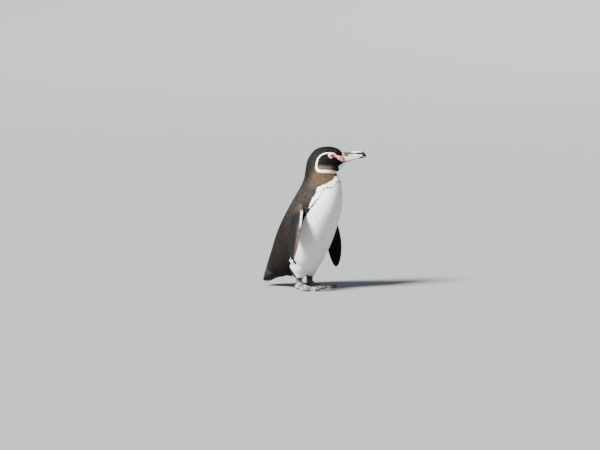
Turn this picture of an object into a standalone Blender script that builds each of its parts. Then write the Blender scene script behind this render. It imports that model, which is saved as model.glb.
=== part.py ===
"""A Galapagos penguin (Spheniscus mendiculus) standing on both feet, life size, as closed solids.

Metres, +Z up, the bird facing +X with its left side at +Y and its soles on Z = 0. The body is one
loft of oval ribs from the vent to the base of the bill, parted by thin flat cuts into trunk, neck
and head. The head is swung to the bird's left. Tail, flippers, legs, feet, claws, bill and eyes are
solids of their own, each a small gap away from what it grows out of.
"""

import math

import bmesh
import bpy
import numpy as np
from mathutils import Vector

MM = 0.001
GAP = 0.3  # millimetres between neighbouring solids
ORIGIN = (5.5, 9.2)  # millimetres from the body's own axis to the middle of the standing bird

# Ribs of the body in millimetres: its back edge (x, z), its front edge (x, z), half its width,
# and how much fuller it is towards the front edge, where the cheeks are.
# A place along the body is a rib number, which may be a fraction: 0 is the vent, 13 the bill.
RIBS = {
    "vent": (-126, 52, -62, 28, 34, 0),
    "rump": (-117, 73, -30, 27, 46, 0),
    "thighs": (-105, 101, 8, 48, 58, 0),
    "belly": (-92, 135, 36, 92, 63, 0),
    "middle": (-73, 174, 60, 146, 61, 0),
    "breast": (-50, 213, 76, 196, 54, 0),
    "chest": (-29.5, 246, 80.5, 237, 44, 0),
    "neck root": (-17.5, 270, 75.5, 265, 36, 0),
    "throat": (-12.5, 293, 64, 283, 30.5, 0.03),
    "nape": (-6, 317.5, 67, 288, 28.8, 0.08),
    "back of crown": (11.5, 340.5, 73.5, 293.5, 27.2, 0.12),
    "crown": (40, 348.6, 79, 299.5, 24, 0.12),
    "brow": (65.5, 344, 83, 304.5, 16.8, 0.08),
    "bill root": (75.5, 335.5, 84.8, 306.4, 11.2, 0),
}
RIB_POINTS = 28
TAIL_POINTS = 20
TRUNK_END = 6.6
NECK_END = 8.3
HEAD_END = 13.0

HEAD_TURN = math.radians(28)  # the bill points this far to the bird's left
TURN_AXIS_X = 26.8
TURN_START = 6.2
TURN_END = 9.5

EYE_RADIUS = 6.8
EYE_CENTRE = (53.2, 18.6, 327.0)  # the left eye, before the head is turned

# Bill ribs: top edge (x, z), bottom edge (x, z), half width.
UPPER_BILL = (
    (76.1, 335.5, 79.2, 325.6, 8.8),
    (88.0, 335.8, 90.0, 325.4, 7.6),
    (102.0, 335.9, 103.0, 325.4, 6.2),
    (116.0, 336.6, 116.0, 325.6, 5.0),
    (126.0, 335.8, 125.5, 325.3, 4.0),
    (132.2, 332.4, 131.4, 323.9, 2.7),
    (135.4, 327.6, 134.6, 322.9, 1.2),
)
LOWER_BILL = (
    (79.4, 325.0, 84.8, 308.0, 8.4),
    (91.0, 324.8, 93.5, 312.0, 7.2),
    (104.0, 324.7, 105.0, 315.6, 5.7),
    (116.0, 324.8, 116.0, 318.7, 4.5),
    (125.0, 324.3, 125.0, 320.4, 3.4),
    (131.0, 322.9, 130.6, 321.4, 1.6),
)

# Tail ribs: upper edge (x, z), lower edge (x, z), half width.
TAIL = (
    (-126.0, 52.0, -62.0, 28.0, 34.0),
    (-129.0, 41.0, -84.0, 24.0, 31.0),
    (-131.5, 31.0, -106.0, 18.0, 28.5),
    (-133.0, 21.0, -121.0, 12.0, 25.0),
    (-134.0, 12.5, -131.0, 7.5, 15.0),
)
TAIL_BOW = 11.0  # the middle tail feathers reach this much further than the outer ones

# Flipper sections: distance from the shoulder, leading edge, trailing edge, thickness.
FLIPPER = (
    (0, 16, -14, 24),
    (22, 17.5, -15, 17),
    (46, 20.5, -16.5, 11),
    (70, 22, -18, 8.2),
    (98, 20, -18, 6.4),
    (124, 13.5, -16.5, 5.0),
    (142, 5, -12.5, 3.6),
    (149.5, -2, -8, 2.0),
)
FLIPPER_POINTS = 14
# Where each flipper hangs: shoulder, tip, how far its leading edge is turned outward (degrees)
# and how far its middle bows away from the straight line.
FLIPPER_POSE = {
    "left": ((5, 45, 204), (11, 102, 46), 20, 7),
    "right": ((-5, -44, 214), (25, -119, 84), 18, 9),
}

# Leg cuffs: height, forward shift, outward shift, half length, half width.
LEG = (
    (70, -10, 7, 31, 25),
    (50, -5, 4, 25, 20),
    (37, -2, 1, 17.5, 14.5),
    (27.3, 0, 0, 11, 9.5),
)
ANKLE = {"left": (-21, 22), "right": (-22, -23)}
TOE_OUT = {"left": 6, "right": 13}  # degrees from straight ahead to the middle toe
FOOT_TOP = 27.0
TARSUS = (8.2, 6.6)  # half length and half width of the bare shank
TOES = {  # degrees outward of the middle toe, length from the ankle, half width
    "inner": (-25, 54, 5.0),
    "middle": (0, 64, 5.6),
    "outer": (25, 58, 5.2),
}
HEEL = 10.5
WEB_REACH = 0.86  # the web's edge as a share of the toes' lengths
WEB_THICKNESS = 2.8
TOE_HEIGHT = 5.0
CLAW_LENGTH = 11.0
CLAW_RADIUS = 2.3
HIND_CLAW_GAP = 1.0  # from the narrow side of the shank, which widens below
HIND_CLAW_HEIGHT = 14.5
HIND_CLAW_LENGTH = 7.5
HIND_CLAW_DIRECTION = -68  # degrees, inward of the middle toe

COLOURS = {  # base colour, roughness
    "dark feathers": ((0.080, 0.065, 0.055), 0.75),
    "brown feathers": ((0.100, 0.078, 0.062), 0.75),
    "bare skin": ((0.200, 0.180, 0.170), 0.6),
    "horn": ((0.120, 0.110, 0.105), 0.4),
    "pale horn": ((0.600, 0.520, 0.430), 0.4),
    "claw": ((0.050, 0.045, 0.042), 0.45),
    "eye": ((0.120, 0.015, 0.012), 0.05),
}


def through(rows, places):
    """A Catmull-Rom curve through rows of numbers, read at fractional row numbers."""
    rows = np.asarray(rows, float)
    padded = np.vstack([2 * rows[0] - rows[1], rows, 2 * rows[-1] - rows[-2]])
    places = np.atleast_1d(np.asarray(places, float))
    first = np.clip(places.astype(int), 0, len(rows) - 2)
    f = (places - first)[:, None]
    a, b, c, d = (padded[first + k] for k in range(4))
    return b + 0.5 * f * (c - a + f * (2 * a - 5 * b + 4 * c - d + f * (3 * (b - c) + d - a)))


def smooth(x):
    x = np.clip(x, 0.0, 1.0)
    return x * x * (3 - 2 * x)


def swing(points, angle):
    """Turns points about the upright line through the neck, positive to the bird's left."""
    x = points[:, 0] - TURN_AXIS_X
    y = points[:, 1]
    turned_x = x * math.cos(angle) - y * math.sin(angle) + TURN_AXIS_X
    turned_y = x * math.sin(angle) + y * math.cos(angle)
    return np.column_stack([turned_x, turned_y, points[:, 2]])


def oval(row, count, grow=0.0):
    """One rib: an oval standing on its two edge points in the bird's middle plane."""
    back = np.array([row[0], 0.0, row[1]])
    front = np.array([row[2], 0.0, row[3]])
    half = (back - front) / 2
    half *= 1 + grow / np.linalg.norm(half)
    around = np.linspace(0, 2 * math.pi, count, endpoint=False)[:, None]
    sideways = np.array([0.0, row[4] + grow, 0.0])
    width = np.sin(around) * (1 - row[5] * np.cos(around))
    return (back + front) / 2 + half * np.cos(around) + sideways * width


def body_rings(start, end, count, grow=0.0):
    """Ribs of the body between two places, each swung by the share of the head's turn there."""
    places = np.linspace(start, end, count)
    turns = HEAD_TURN * smooth((places - TURN_START) / (TURN_END - TURN_START))
    rows = through(list(RIBS.values()), places)
    return [swing(oval(row, RIB_POINTS, grow), turn) for row, turn in zip(rows, turns)]


def stand_off(rings):
    """Moves the first ring by the gap, square to its own plane and into the solid."""
    ring = rings[0]
    square = np.cross(ring[len(ring) // 4] - ring[0], ring[len(ring) // 2] - ring[0])
    square /= np.linalg.norm(square)
    inward = rings[1].mean(0) - ring.mean(0)
    rings[0] = ring + square * math.copysign(GAP, float(square @ inward))
    return rings


def material(name):
    colour, roughness = COLOURS[name]
    made = bpy.data.materials.new(name)
    made.use_nodes = True
    shader = made.node_tree.nodes["Principled BSDF"]
    shader.inputs["Base Color"].default_value = (*colour, 1)
    shader.inputs["Roughness"].default_value = roughness
    shader.inputs["Metallic"].default_value = 0.0
    return made


def add_object(name, mesh, look, collection):
    """Puts a mesh under the bird's frame as one named piece with its own material."""
    mesh.materials.append(material(look))
    piece = bpy.data.objects.new(name, mesh)
    piece.parent = bpy.data.objects["penguin_frame"]
    collection.objects.link(piece)
    return piece


def loft(name, rings, look, collection, tips=(None, None)):
    """A closed solid through rings of equal point counts, given in millimetres.

    Each end is a flat face, or runs to a point where a tip is given.
    """
    shape = bmesh.new()
    rows = [[shape.verts.new(Vector(p) * MM) for p in ring] for ring in rings]
    for row, after in zip(rows, rows[1:]):
        for k in range(len(row)):
            following = (k + 1) % len(row)
            shape.faces.new((row[k], row[following], after[following], after[k]))
    for row, tip in ((rows[0], tips[0]), (rows[-1], tips[1])):
        if tip is None:
            shape.faces.new(row)
            continue
        point = shape.verts.new(Vector(tip) * MM)
        for k in range(len(row)):
            shape.faces.new((row[k], row[(k + 1) % len(row)], point))
    bmesh.ops.recalc_face_normals(shape, faces=shape.faces)
    mesh = bpy.data.meshes.new(name)
    shape.to_mesh(mesh)
    shape.free()
    mesh.shade_smooth()
    mesh.set_sharp_from_angle(angle=math.radians(50))
    return add_object(name, mesh, look, collection)


def cut(piece, cutter):
    """Takes the cutter's space out of a piece."""
    boolean = piece.modifiers.new("clear of " + cutter.name, "BOOLEAN")
    boolean.object = cutter
    boolean.operation = "DIFFERENCE"
    boolean.solver = "EXACT"


def hide_cutter(cutter):
    cutter.hide_render = True
    cutter.display_type = "WIRE"


def side_sign(side):
    return 1 if side == "left" else -1


def body_parts(parts, cutters):
    """Trunk, neck and head from the one loft, and the grown trunk that trims the limbs."""
    loft("trunk", body_rings(0, TRUNK_END, 24), "dark feathers", parts)
    neck = stand_off(body_rings(TRUNK_END, NECK_END, 8))
    loft("neck", neck, "brown feathers", parts)
    head_rings = stand_off(body_rings(NECK_END, HEAD_END, 18))
    head = loft("head", head_rings, "dark feathers", parts)
    trunk_space = loft("trunk_space", body_rings(0, TRUNK_END, 24, GAP), "dark feathers", cutters)
    hide_cutter(trunk_space)
    return head, trunk_space


def eye(side, head, parts, cutters):
    """An eyeball sunk in a round socket of the head."""
    x, y, z = EYE_CENTRE
    centre = swing(np.array([[x, side_sign(side) * y, z]]), HEAD_TURN)[0]
    for name, radius, collection in (
        ("eye_" + side, EYE_RADIUS, parts),
        ("socket_" + side, EYE_RADIUS + GAP, cutters),
    ):
        ball = bmesh.new()
        bmesh.ops.create_uvsphere(ball, u_segments=16, v_segments=10, radius=radius * MM)
        mesh = bpy.data.meshes.new(name)
        ball.to_mesh(mesh)
        ball.free()
        mesh.shade_smooth()
        made = add_object(name, mesh, "eye", collection)
        made.location = Vector(centre) * MM
    hide_cutter(made)
    cut(head, made)


def bill_ring(row, arch, count=16):
    """Half an oval over a flat edge. Arch is 1 for the upper bill and -1 for the lower."""
    edge, ridge = (row[2:4], row[0:2]) if arch > 0 else (row[0:2], row[2:4])
    edge = np.array([edge[0], 0.0, edge[1]])
    rise = np.array([ridge[0], 0.0, ridge[1]]) - edge
    around = np.linspace(0, math.pi, count - 2)[:, None]
    wall = edge + rise * np.sin(around) ** 0.9 + np.array([0.0, row[4], 0.0]) * np.cos(around)
    inner = np.linspace(-1 / 3, 1 / 3, 2)[:, None]
    floor = edge + np.array([0.0, row[4], 0.0]) * inner
    return swing(np.vstack([wall, floor]), HEAD_TURN)


def bill(parts):
    for name, rows, arch, look in (
        ("bill_upper", UPPER_BILL, 1, "horn"),
        ("bill_lower", LOWER_BILL, -1, "pale horn"),
    ):
        places = np.linspace(0, len(rows) - 1, 2 * len(rows))
        rings = [bill_ring(row, arch) for row in through(rows, places)]
        loft(name, rings, look, parts)


def tail(parts):
    """A stiff flat wedge, longest in the middle."""
    places = np.linspace(0, len(TAIL) - 1, 11)
    rings = stand_off([oval((*row, 0), TAIL_POINTS) for row in through(TAIL, places)])
    for ring, place in zip(rings, places):
        share = smooth(place / (len(TAIL) - 1))
        along = np.array([-0.80, 0.0, -0.15])
        reach = 1 - (ring[:, 1] / np.abs(ring[:, 1]).max()) ** 2
        ring += along * (TAIL_BOW * share * (reach - 1))[:, None]
    loft("tail", rings, "brown feathers", parts, (None, rings[-1].mean(0)))


def flipper(side, trunk_space, parts):
    """A thin blade with a round leading edge, hung from the shoulder and trimmed by the trunk."""
    shoulder, tip, outward, bow = FLIPPER_POSE[side]
    sign = side_sign(side)
    shoulder, tip = Vector(shoulder), Vector(tip)
    down = (tip - shoulder).normalized()
    forward = Vector((math.cos(math.radians(outward)), sign * math.sin(math.radians(outward)), 0))
    chord = (forward - down * forward.dot(down)).normalized()
    out = chord.cross(down) * sign
    span = FLIPPER[-1][0]
    stretch = (tip - shoulder).length / span
    around = np.linspace(0, 2 * math.pi, FLIPPER_POINTS, endpoint=False)
    rings = []
    for reach, lead, trail, thick in through(FLIPPER, np.linspace(0, len(FLIPPER) - 1, 20)):
        across = (lead + trail) / 2 + (lead - trail) / 2 * np.cos(around)
        through_blade = thick / 2 * np.sin(around) * (0.72 + 0.28 * np.cos(around))
        arc = bow * math.sin(math.pi * min(reach / span, 1))
        centre = np.array(shoulder + down * reach * stretch + out * arc)
        rings.append(centre + np.outer(across, chord) + np.outer(through_blade, out))
    blade = loft("flipper_" + side, rings, "dark feathers", parts)
    cut(blade, trunk_space)


def leg(side, trunk_space, parts):
    """The feathered cuff between the belly and the bare shank."""
    ankle_x, ankle_y = ANKLE[side]
    around = np.linspace(0, 2 * math.pi, 20, endpoint=False)
    rings = []
    for height, ahead, aside, half_x, half_y in through(LEG, np.linspace(0, len(LEG) - 1, 8)):
        x = ankle_x + ahead + half_x * np.cos(around)
        y = ankle_y + side_sign(side) * aside + half_y * np.sin(around)
        rings.append(np.column_stack([x, y, np.full(len(around), height)]))
    cuff = loft("leg_" + side, rings, "dark feathers", parts)
    cut(cuff, trunk_space)


def toe_reach(angle, toe):
    """How far a round-ended toe reaches from the ankle along a direction, in millimetres."""
    off = np.abs(angle - math.radians(toe[0]))
    sideways = np.maximum(np.sin(np.minimum(off, math.pi / 2)), 1e-6)
    straight = toe[1] - toe[2]
    flank = toe[2] / sideways
    inside = np.maximum(toe[2] ** 2 - (straight * sideways) ** 2, 0)
    round_end = straight * np.cos(off) + np.sqrt(inside)
    return np.where(flank * np.cos(off) > straight, round_end, flank)


def foot_outline(angle):
    """The sole's edge in each direction: toes, the scalloped webs between them, and the heel."""
    toes = list(TOES.values())
    reach = np.max([toe_reach(angle, toe) for toe in toes], axis=0)
    for toe, neighbour in zip(toes, toes[1:]):
        share = (np.degrees(angle) - toe[0]) / (neighbour[0] - toe[0])
        edge = WEB_REACH * (toe[1] + share * (neighbour[1] - toe[1]))
        scallop = edge * (1 - 0.07 * np.sin(math.pi * np.clip(share, 0, 1)))
        reach = np.where((share > 0) & (share < 1), np.maximum(reach, scallop), reach)
    return np.maximum(reach, HEEL)


def foot_height(x, y):
    """The top of the foot over its sole: a ridge on each toe, a thin web, a mound at the ankle."""
    top = np.full_like(x, WEB_THICKNESS)
    for direction, length, half in TOES.values():
        along = x * math.cos(math.radians(direction)) + y * math.sin(math.radians(direction))
        beside = y * math.cos(math.radians(direction)) - x * math.sin(math.radians(direction))
        ridge = TOE_HEIGHT * np.exp(-((beside / half) ** 2)) * smooth(along / 18)
        top = np.maximum(top, WEB_THICKNESS + ridge * (1 - 0.35 * smooth(along / length)))
    return top + 11.0 * np.exp(-((np.hypot(x, y) / 13) ** 2))


def foot(side, parts):
    """A webbed foot on a flat sole with the bare shank rising from it, star shaped in plan."""
    sign = side_sign(side)
    front = np.radians(np.arange(-37.5, 38, 2.5))
    back = np.radians(np.linspace(48, 312, 15))
    around = np.concatenate([front, back])
    wrapped = (around + math.pi) % (2 * math.pi) - math.pi
    reach = foot_outline(wrapped)
    plan = np.column_stack([np.cos(around), np.sin(around)])
    rings = [np.column_stack([plan * (reach * 0.96)[:, None], np.zeros(len(around))])]
    rings.append(np.column_stack([plan * reach[:, None], np.full(len(around), 1.2)]))
    shank = TARSUS[0] * TARSUS[1] / np.hypot(TARSUS[1] * plan[:, 0], TARSUS[0] * plan[:, 1])
    for share in (0.95, 0.86, 0.74, 0.60, 0.45, 0.28, 0.12):
        edge = shank + (reach - shank) * share
        flat = plan * edge[:, None]
        rings.append(np.column_stack([flat, foot_height(flat[:, 0], flat[:, 1])]))
    for height in (19.0, FOOT_TOP):
        rings.append(np.column_stack([plan * shank[:, None], np.full(len(around), height)]))
    rings = [place_on_foot(ring, side, sign) for ring in rings]
    ankle = place_on_foot(np.array([[0.0, 0.0, 0.0], [0.0, 0.0, FOOT_TOP]]), side, sign)
    loft("foot_" + side, rings, "bare skin", parts, (ankle[0], ankle[1]))


def place_on_foot(points, side, sign):
    """Takes points from the foot's own frame, middle toe along +X, to the bird's."""
    angle = math.radians(TOE_OUT[side])
    x = points[:, 0]
    y = points[:, 1]
    ahead = x * math.cos(angle) - y * math.sin(angle)
    aside = x * math.sin(angle) + y * math.cos(angle)
    ankle_x, ankle_y = ANKLE[side]
    return np.column_stack([ankle_x + ahead, ankle_y + sign * aside, points[:, 2]])


def claw_rings(start, length, radius, height, droop):
    """A tapering hook along +X that starts at a distance from the ankle and curls down."""
    around = np.linspace(0, 2 * math.pi, 10, endpoint=False)
    rings = []
    for share in np.linspace(0, 1, 6):
        size = radius * (1 - 0.82 * share)
        x = np.full(len(around), start + length * share)
        y = 0.8 * size * np.cos(around)
        z = height - droop * share * share + size * np.sin(around)
        rings.append(np.column_stack([x, y, z]))
    return rings


def claws(side, parts):
    sign = side_sign(side)
    hooks = {
        name: (math.radians(toe[0]), claw_rings(toe[1] + GAP, CLAW_LENGTH, CLAW_RADIUS, 3.4, 2.4))
        for name, toe in TOES.items()
    }
    hind = claw_rings(TARSUS[1] + HIND_CLAW_GAP, HIND_CLAW_LENGTH, 1.9, HIND_CLAW_HEIGHT, 4.0)
    hooks["hind"] = (math.radians(HIND_CLAW_DIRECTION), hind)
    for name, (direction, rings) in hooks.items():
        placed = []
        for ring in rings:
            x = ring[:, 0] * math.cos(direction) - ring[:, 1] * math.sin(direction)
            y = ring[:, 0] * math.sin(direction) + ring[:, 1] * math.cos(direction)
            turned = np.column_stack([x, y, ring[:, 2]])
            placed.append(place_on_foot(turned, side, sign))
        loft(f"claw_{side}_{name}", placed, "claw", parts)


def build():
    for old in list(bpy.data.objects):
        bpy.data.objects.remove(old)
    parts = bpy.data.collections.new("galapagos_penguin")
    cutters = bpy.data.collections.new("cutters")
    bpy.context.scene.collection.children.link(parts)
    bpy.context.scene.collection.children.link(cutters)
    frame = bpy.data.objects.new("penguin_frame", None)
    frame.location = (ORIGIN[0] * MM, ORIGIN[1] * MM, 0)
    parts.objects.link(frame)

    head, trunk_space = body_parts(parts, cutters)
    bill(parts)
    tail(parts)
    for side in ("left", "right"):
        eye(side, head, parts, cutters)
        flipper(side, trunk_space, parts)
        leg(side, trunk_space, parts)
        foot(side, parts)
        claws(side, parts)


build()
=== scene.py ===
"""A standing Galapagos penguin dressed over its solids: skin, feather coat, bill, eyes, feet, tail.

Lengths in the tables are millimetres in the bird's own frame: +X ahead, +Y its left, floor at Z 0.
Every surface is a function of two parameters worked out on whole numpy arrays. A place along the
body is a rib number that may be a fraction: -4 is the tail's tip, 0 the vent, 13 the bill's root.
A turn round a rib is an angle from the middle of the back, positive on the bird's left.
"""

import math
from functools import partial
from types import SimpleNamespace

import bpy
import numpy as np
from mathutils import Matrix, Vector


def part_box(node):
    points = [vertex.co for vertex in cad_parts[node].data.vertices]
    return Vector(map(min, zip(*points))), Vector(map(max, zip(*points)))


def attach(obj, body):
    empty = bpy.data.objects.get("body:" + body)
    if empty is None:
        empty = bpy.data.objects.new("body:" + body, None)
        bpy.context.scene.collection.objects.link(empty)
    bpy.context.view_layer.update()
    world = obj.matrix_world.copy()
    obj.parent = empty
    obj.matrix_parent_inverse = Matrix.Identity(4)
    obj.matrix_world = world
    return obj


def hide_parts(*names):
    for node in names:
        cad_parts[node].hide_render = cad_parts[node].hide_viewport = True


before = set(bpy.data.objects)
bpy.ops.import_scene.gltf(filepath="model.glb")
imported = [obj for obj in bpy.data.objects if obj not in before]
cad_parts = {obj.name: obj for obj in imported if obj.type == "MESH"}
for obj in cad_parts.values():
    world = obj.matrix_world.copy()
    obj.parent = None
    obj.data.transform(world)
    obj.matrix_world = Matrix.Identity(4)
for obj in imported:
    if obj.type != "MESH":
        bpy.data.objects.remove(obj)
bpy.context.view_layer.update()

MM = 0.001
FULL_TURN = 2 * math.pi
SIDES = ("left", "right")

# Ribs: back edge (x, z), front edge (x, z), half width, fullness towards the front edge.
RIBS = {
    "tail tip": (-134, 12.5, -131, 7.5, 15, 0),
    "tail end": (-133, 21, -121, 12, 25, 0),
    "tail middle": (-131.5, 31, -106, 18, 28.5, 0),
    "tail root": (-129, 41, -84, 24, 31, 0),
    "vent": (-126, 52, -62, 28, 34, 0),
    "rump": (-117, 73, -30, 27, 46, 0),
    "thighs": (-105, 101, 8, 48, 58, 0),
    "belly": (-92, 135, 36, 92, 63, 0),
    "middle": (-73, 174, 60, 146, 61, 0),
    "breast": (-50, 213, 76, 196, 54, 0),
    "chest": (-29.5, 246, 80.5, 237, 44, 0),
    "neck root": (-17.5, 270, 75.5, 265, 36, 0),
    "throat": (-12.5, 293, 64, 283, 30.5, 0.03),
    "nape": (-6, 317.5, 67, 288, 28.8, 0.08),
    "back of crown": (11.5, 340.5, 73.5, 293.5, 27.2, 0.12),
    "crown": (40, 348.6, 79, 299.5, 24, 0.12),
    "brow": (65.5, 344, 83, 304.5, 16.8, 0.08),
    "bill root": (75.5, 335.5, 84.8, 306.4, 11.2, 0),
    "bill edge": (77.2, 333.4, 86.0, 309.0, 8.6, 0),
}
RIB_ROWS = list(RIBS.values())
VENT_RIB = list(RIBS).index("vent")
STUMP = -3.3  # the tail's flesh ends here and the long feathers carry on
FACE_END = 13.9
TRUNK_END = 6.6
# The head is turned to its left about an upright line, and the neck follows it between two ribs.
HEAD_TURN = math.radians(28)
TURN_AXIS_X = 26.8
TURN_START = 6.2
TURN_END = 9.5

EYE_RADIUS = 6.8
EYE_CENTRE = (53.2, 18.6, 327.0)

# Bill stations from the root: ridge (x, z), biting edge (x, z), half width.
UPPER_BILL = (
    (76.1, 335.5, 79.2, 325.6, 8.8),
    (88.0, 335.8, 90.0, 325.4, 7.6),
    (102.0, 335.9, 103.0, 325.4, 6.2),
    (116.0, 336.6, 116.0, 325.6, 5.0),
    (126.0, 335.8, 125.5, 325.3, 4.0),
    (132.2, 332.4, 131.4, 323.9, 2.7),
    (135.4, 327.6, 134.6, 322.9, 1.2),
    (136.2, 325.6, 135.6, 323.6, 0.4),
)
# The same, with the biting edge first and the keel under it.
LOWER_BILL = (
    (79.4, 325.0, 84.8, 308.0, 8.4),
    (91.0, 324.8, 93.5, 312.0, 7.2),
    (104.0, 324.7, 105.0, 315.6, 5.7),
    (116.0, 324.8, 116.0, 318.7, 4.5),
    (125.0, 324.3, 125.0, 320.4, 3.4),
    (131.0, 322.9, 130.6, 321.4, 1.6),
    (132.4, 322.4, 132.2, 321.8, 0.6),
)

# Flipper stations: reach from the shoulder, leading edge, trailing edge, thickness.
FLIPPER = (
    (0, 16, -14, 24),
    (22, 17.5, -15, 17),
    (46, 20.5, -16.5, 11),
    (70, 22, -18, 8.2),
    (98, 20, -18, 6.4),
    (124, 13.5, -16.5, 5.0),
    (142, 5, -12.5, 3.6),
    (149.5, -2, -8, 2.0),
)
FLIPPER_SPAN = FLIPPER[-1][0]
# Shoulder, tip, degrees the blade's leading edge is turned outwards, and the bow of its spine.
FLIPPER_POSE = {
    "left": ((5, 45, 204), (11, 102, 46), 20, 7),
    "right": ((-5, -44, 214), (25, -119, 84), 18, 9),
}
# Each shoulder: rib, turn from the back, and how far the muscle lifts the coat over the flipper's root.
SHOULDERS = ((4.95, math.radians(84), 5.0), (5.10, math.radians(-77), 7.2))

# Cuff stations from the belly down: height, place ahead and outward of the ankle, half length, half width.
LEG = (
    (70, -10, 7, 31, 25),
    (50, -5, 4, 25, 20),
    (37, -2, 1, 17.5, 14.5),
    (27.3, 0, 0, 11, 9.5),
)
ANKLE = {"left": (-21, 22), "right": (-22, -23)}
TOE_OUT = {"left": 6, "right": 13}
TARSUS = (8.2, 6.6)
# Toes: degrees outwards from the middle one, length, half width.
TOES = {"inner": (-25, 54, 5.0), "middle": (0, 64, 5.6), "outer": (25, 58, 5.2)}
HEEL = 10.5
WEB_REACH = 0.86
WEB_THICKNESS = 2.8
TOE_HEIGHT = 5.0


def side_sign(side):
    return 1 if side == "left" else -1


def smooth(x):
    """The S-shaped step 3x^2 - 2x^3, held at 0 and 1 outside."""
    x = np.clip(x, 0.0, 1.0)
    return x * x * (3 - 2 * x)


def bell(a, b=0.0):
    """The bell exp(-a^2 - b^2): 1 in the middle and next to nothing from 2 outwards."""
    return np.exp(-(a**2) - b**2)


def circle(count):
    """Turns evenly spaced round a full circle."""
    return np.linspace(0, FULL_TURN, count, endpoint=False)


def net(places, turns):
    """Every place with every turn, as two grids with the places down their rows."""
    return np.meshgrid(places, turns, indexing="ij")


def through(rows, places):
    """Catmull-Rom curve through rows of numbers, read at fractional row numbers of any shape."""
    rows = np.asarray(rows, float)
    padded = np.vstack([2 * rows[0] - rows[1], rows, 2 * rows[-1] - rows[-2]])
    places = np.asarray(places, float)
    first = np.clip(np.floor(places).astype(int), 0, len(rows) - 2)
    f = (places - first)[..., None]
    a, b, c, d = (padded[first + k] for k in range(4))
    return b + 0.5 * f * (c - a + f * (2 * a - 5 * b + 4 * c - d + f * (3 * (b - c) + d - a)))


def by_table(rows, place):
    """A value read between the rows of a table that gives (place, value)."""
    return np.interp(place, *np.array(rows, float).T)


def unit(v):
    return v / np.maximum(np.linalg.norm(v, axis=-1, keepdims=True), 1e-9)


def dots(a, b):
    """The dot product of each row of a with the same row of b."""
    return np.einsum("ij,ij->i", a, b)


def slopes(surface, place, turn, depth, step):
    """A surface's change by place and by turn, each half the difference over a small step both ways."""
    by_place = (surface(place + step, turn, depth) - surface(place - step, turn, depth)) / (2 * step)
    by_turn = (surface(place, turn + step, depth) - surface(place, turn - step, depth)) / (2 * step)
    return by_place, by_turn


def head_turn_at(place):
    return HEAD_TURN * smooth((place - TURN_START) / (TURN_END - TURN_START))


def swing(points, angle):
    """Turns points about the upright line through the neck by an angle that may differ for each."""
    x = points[..., 0] - TURN_AXIS_X
    y = points[..., 1]
    c, s = np.cos(angle), np.sin(angle)
    return np.stack([x * c - y * s + TURN_AXIS_X, x * s + y * c, points[..., 2]], axis=-1)


def shoulder_swell(place, turn):
    """A low rise over each flipper's root: height * exp(-(ribs off / 0.5)^2 - (turn off / 0.42)^2)."""
    rise = 0.0
    for middle_place, middle_turn, height in SHOULDERS:
        off = (turn - middle_turn + math.pi) % FULL_TURN - math.pi
        rise = rise + height * bell((place - middle_place) / 0.5, off / 0.42)
    return rise


def flat_body(place, turn, depth=0.0):
    """The body before the head is turned, sunk by a depth below the feather tips.

    Each rib is an oval on its back and front edges: middle + half chord * cos(turn)
    + half width * sin(turn) * (1 - fullness * cos(turn)), with both halves less the depth.
    """
    row = through(RIB_ROWS, place + VENT_RIB)
    back = np.stack([row[..., 0], 0 * row[..., 0], row[..., 1]], axis=-1)
    front = np.stack([row[..., 2], 0 * row[..., 0], row[..., 3]], axis=-1)
    chord = (back - front) / 2
    reach = np.linalg.norm(chord, axis=-1, keepdims=True)
    depth = np.broadcast_to(np.asarray(depth, float), row.shape[:-1])[..., None]
    chord = chord * np.maximum(reach - depth, 0.2) / reach
    width = np.maximum(row[..., 4] - depth[..., 0], 0.2) + shoulder_swell(place, turn)
    sideways = width * np.sin(turn) * (1 - row[..., 5] * np.cos(turn))
    sideways = np.stack([0 * sideways, sideways, 0 * sideways], axis=-1)
    return (back + front) / 2 + chord * np.cos(turn)[..., None] + sideways


def body_at(place, turn, depth=0.0):
    """The standing body: the flat body with each rib swung by its share of the head's turn."""
    return swing(flat_body(place, turn, depth), head_turn_at(place))


# The bird's own frame lies this far, in metres, from the frame that its solids are packed in.
TRUNK_LOW = body_at(*net(np.linspace(0, TRUNK_END, 24), circle(28))).min((0, 1))
SHIFT = np.array(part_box("trunk")[0]) - MM * TRUNK_LOW
SHIFT[2] = 0.0
rng = np.random.default_rng(11)


# ---------------------------------------------------------------- meshes


def volume(points, faces):
    """Six times the volume that sheets of faces close: the sum of their triangles' determinants."""
    total = 0.0
    for sheet in faces:
        a = points[sheet[:, 0]]
        for k in range(1, sheet.shape[1] - 1):
            b, c = points[sheet[:, k]], points[sheet[:, k + 1]]
            total += np.einsum("ij,ij->", a, np.cross(b, c))
    return total


def turned_over(faces):
    return [sheet[:, ::-1] for sheet in faces]


def outward(points, faces):
    """The faces, turned over where the volume that they close is negative."""
    return faces if volume(points, faces) > 0 else turned_over(faces)


def mesh_from(name, points, faces):
    """A smooth mesh from points in the bird's millimetres and sheets of three or four cornered faces."""
    mesh = bpy.data.meshes.new(name)
    mesh.vertices.add(len(points))
    mesh.vertices.foreach_set("co", (points * MM + SHIFT).astype(np.float32).ravel())
    corners = np.concatenate([sheet.ravel() for sheet in faces]).astype(np.int32)
    sizes = np.concatenate([np.full(len(sheet), sheet.shape[1]) for sheet in faces])
    mesh.loops.add(len(corners))
    mesh.loops.foreach_set("vertex_index", corners)
    mesh.polygons.add(len(sizes))
    starts = np.concatenate([[0], np.cumsum(sizes)[:-1]]).astype(np.int32)
    mesh.polygons.foreach_set("loop_start", starts)
    mesh.update(calc_edges=True)
    mesh.shade_smooth()
    return mesh


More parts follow.
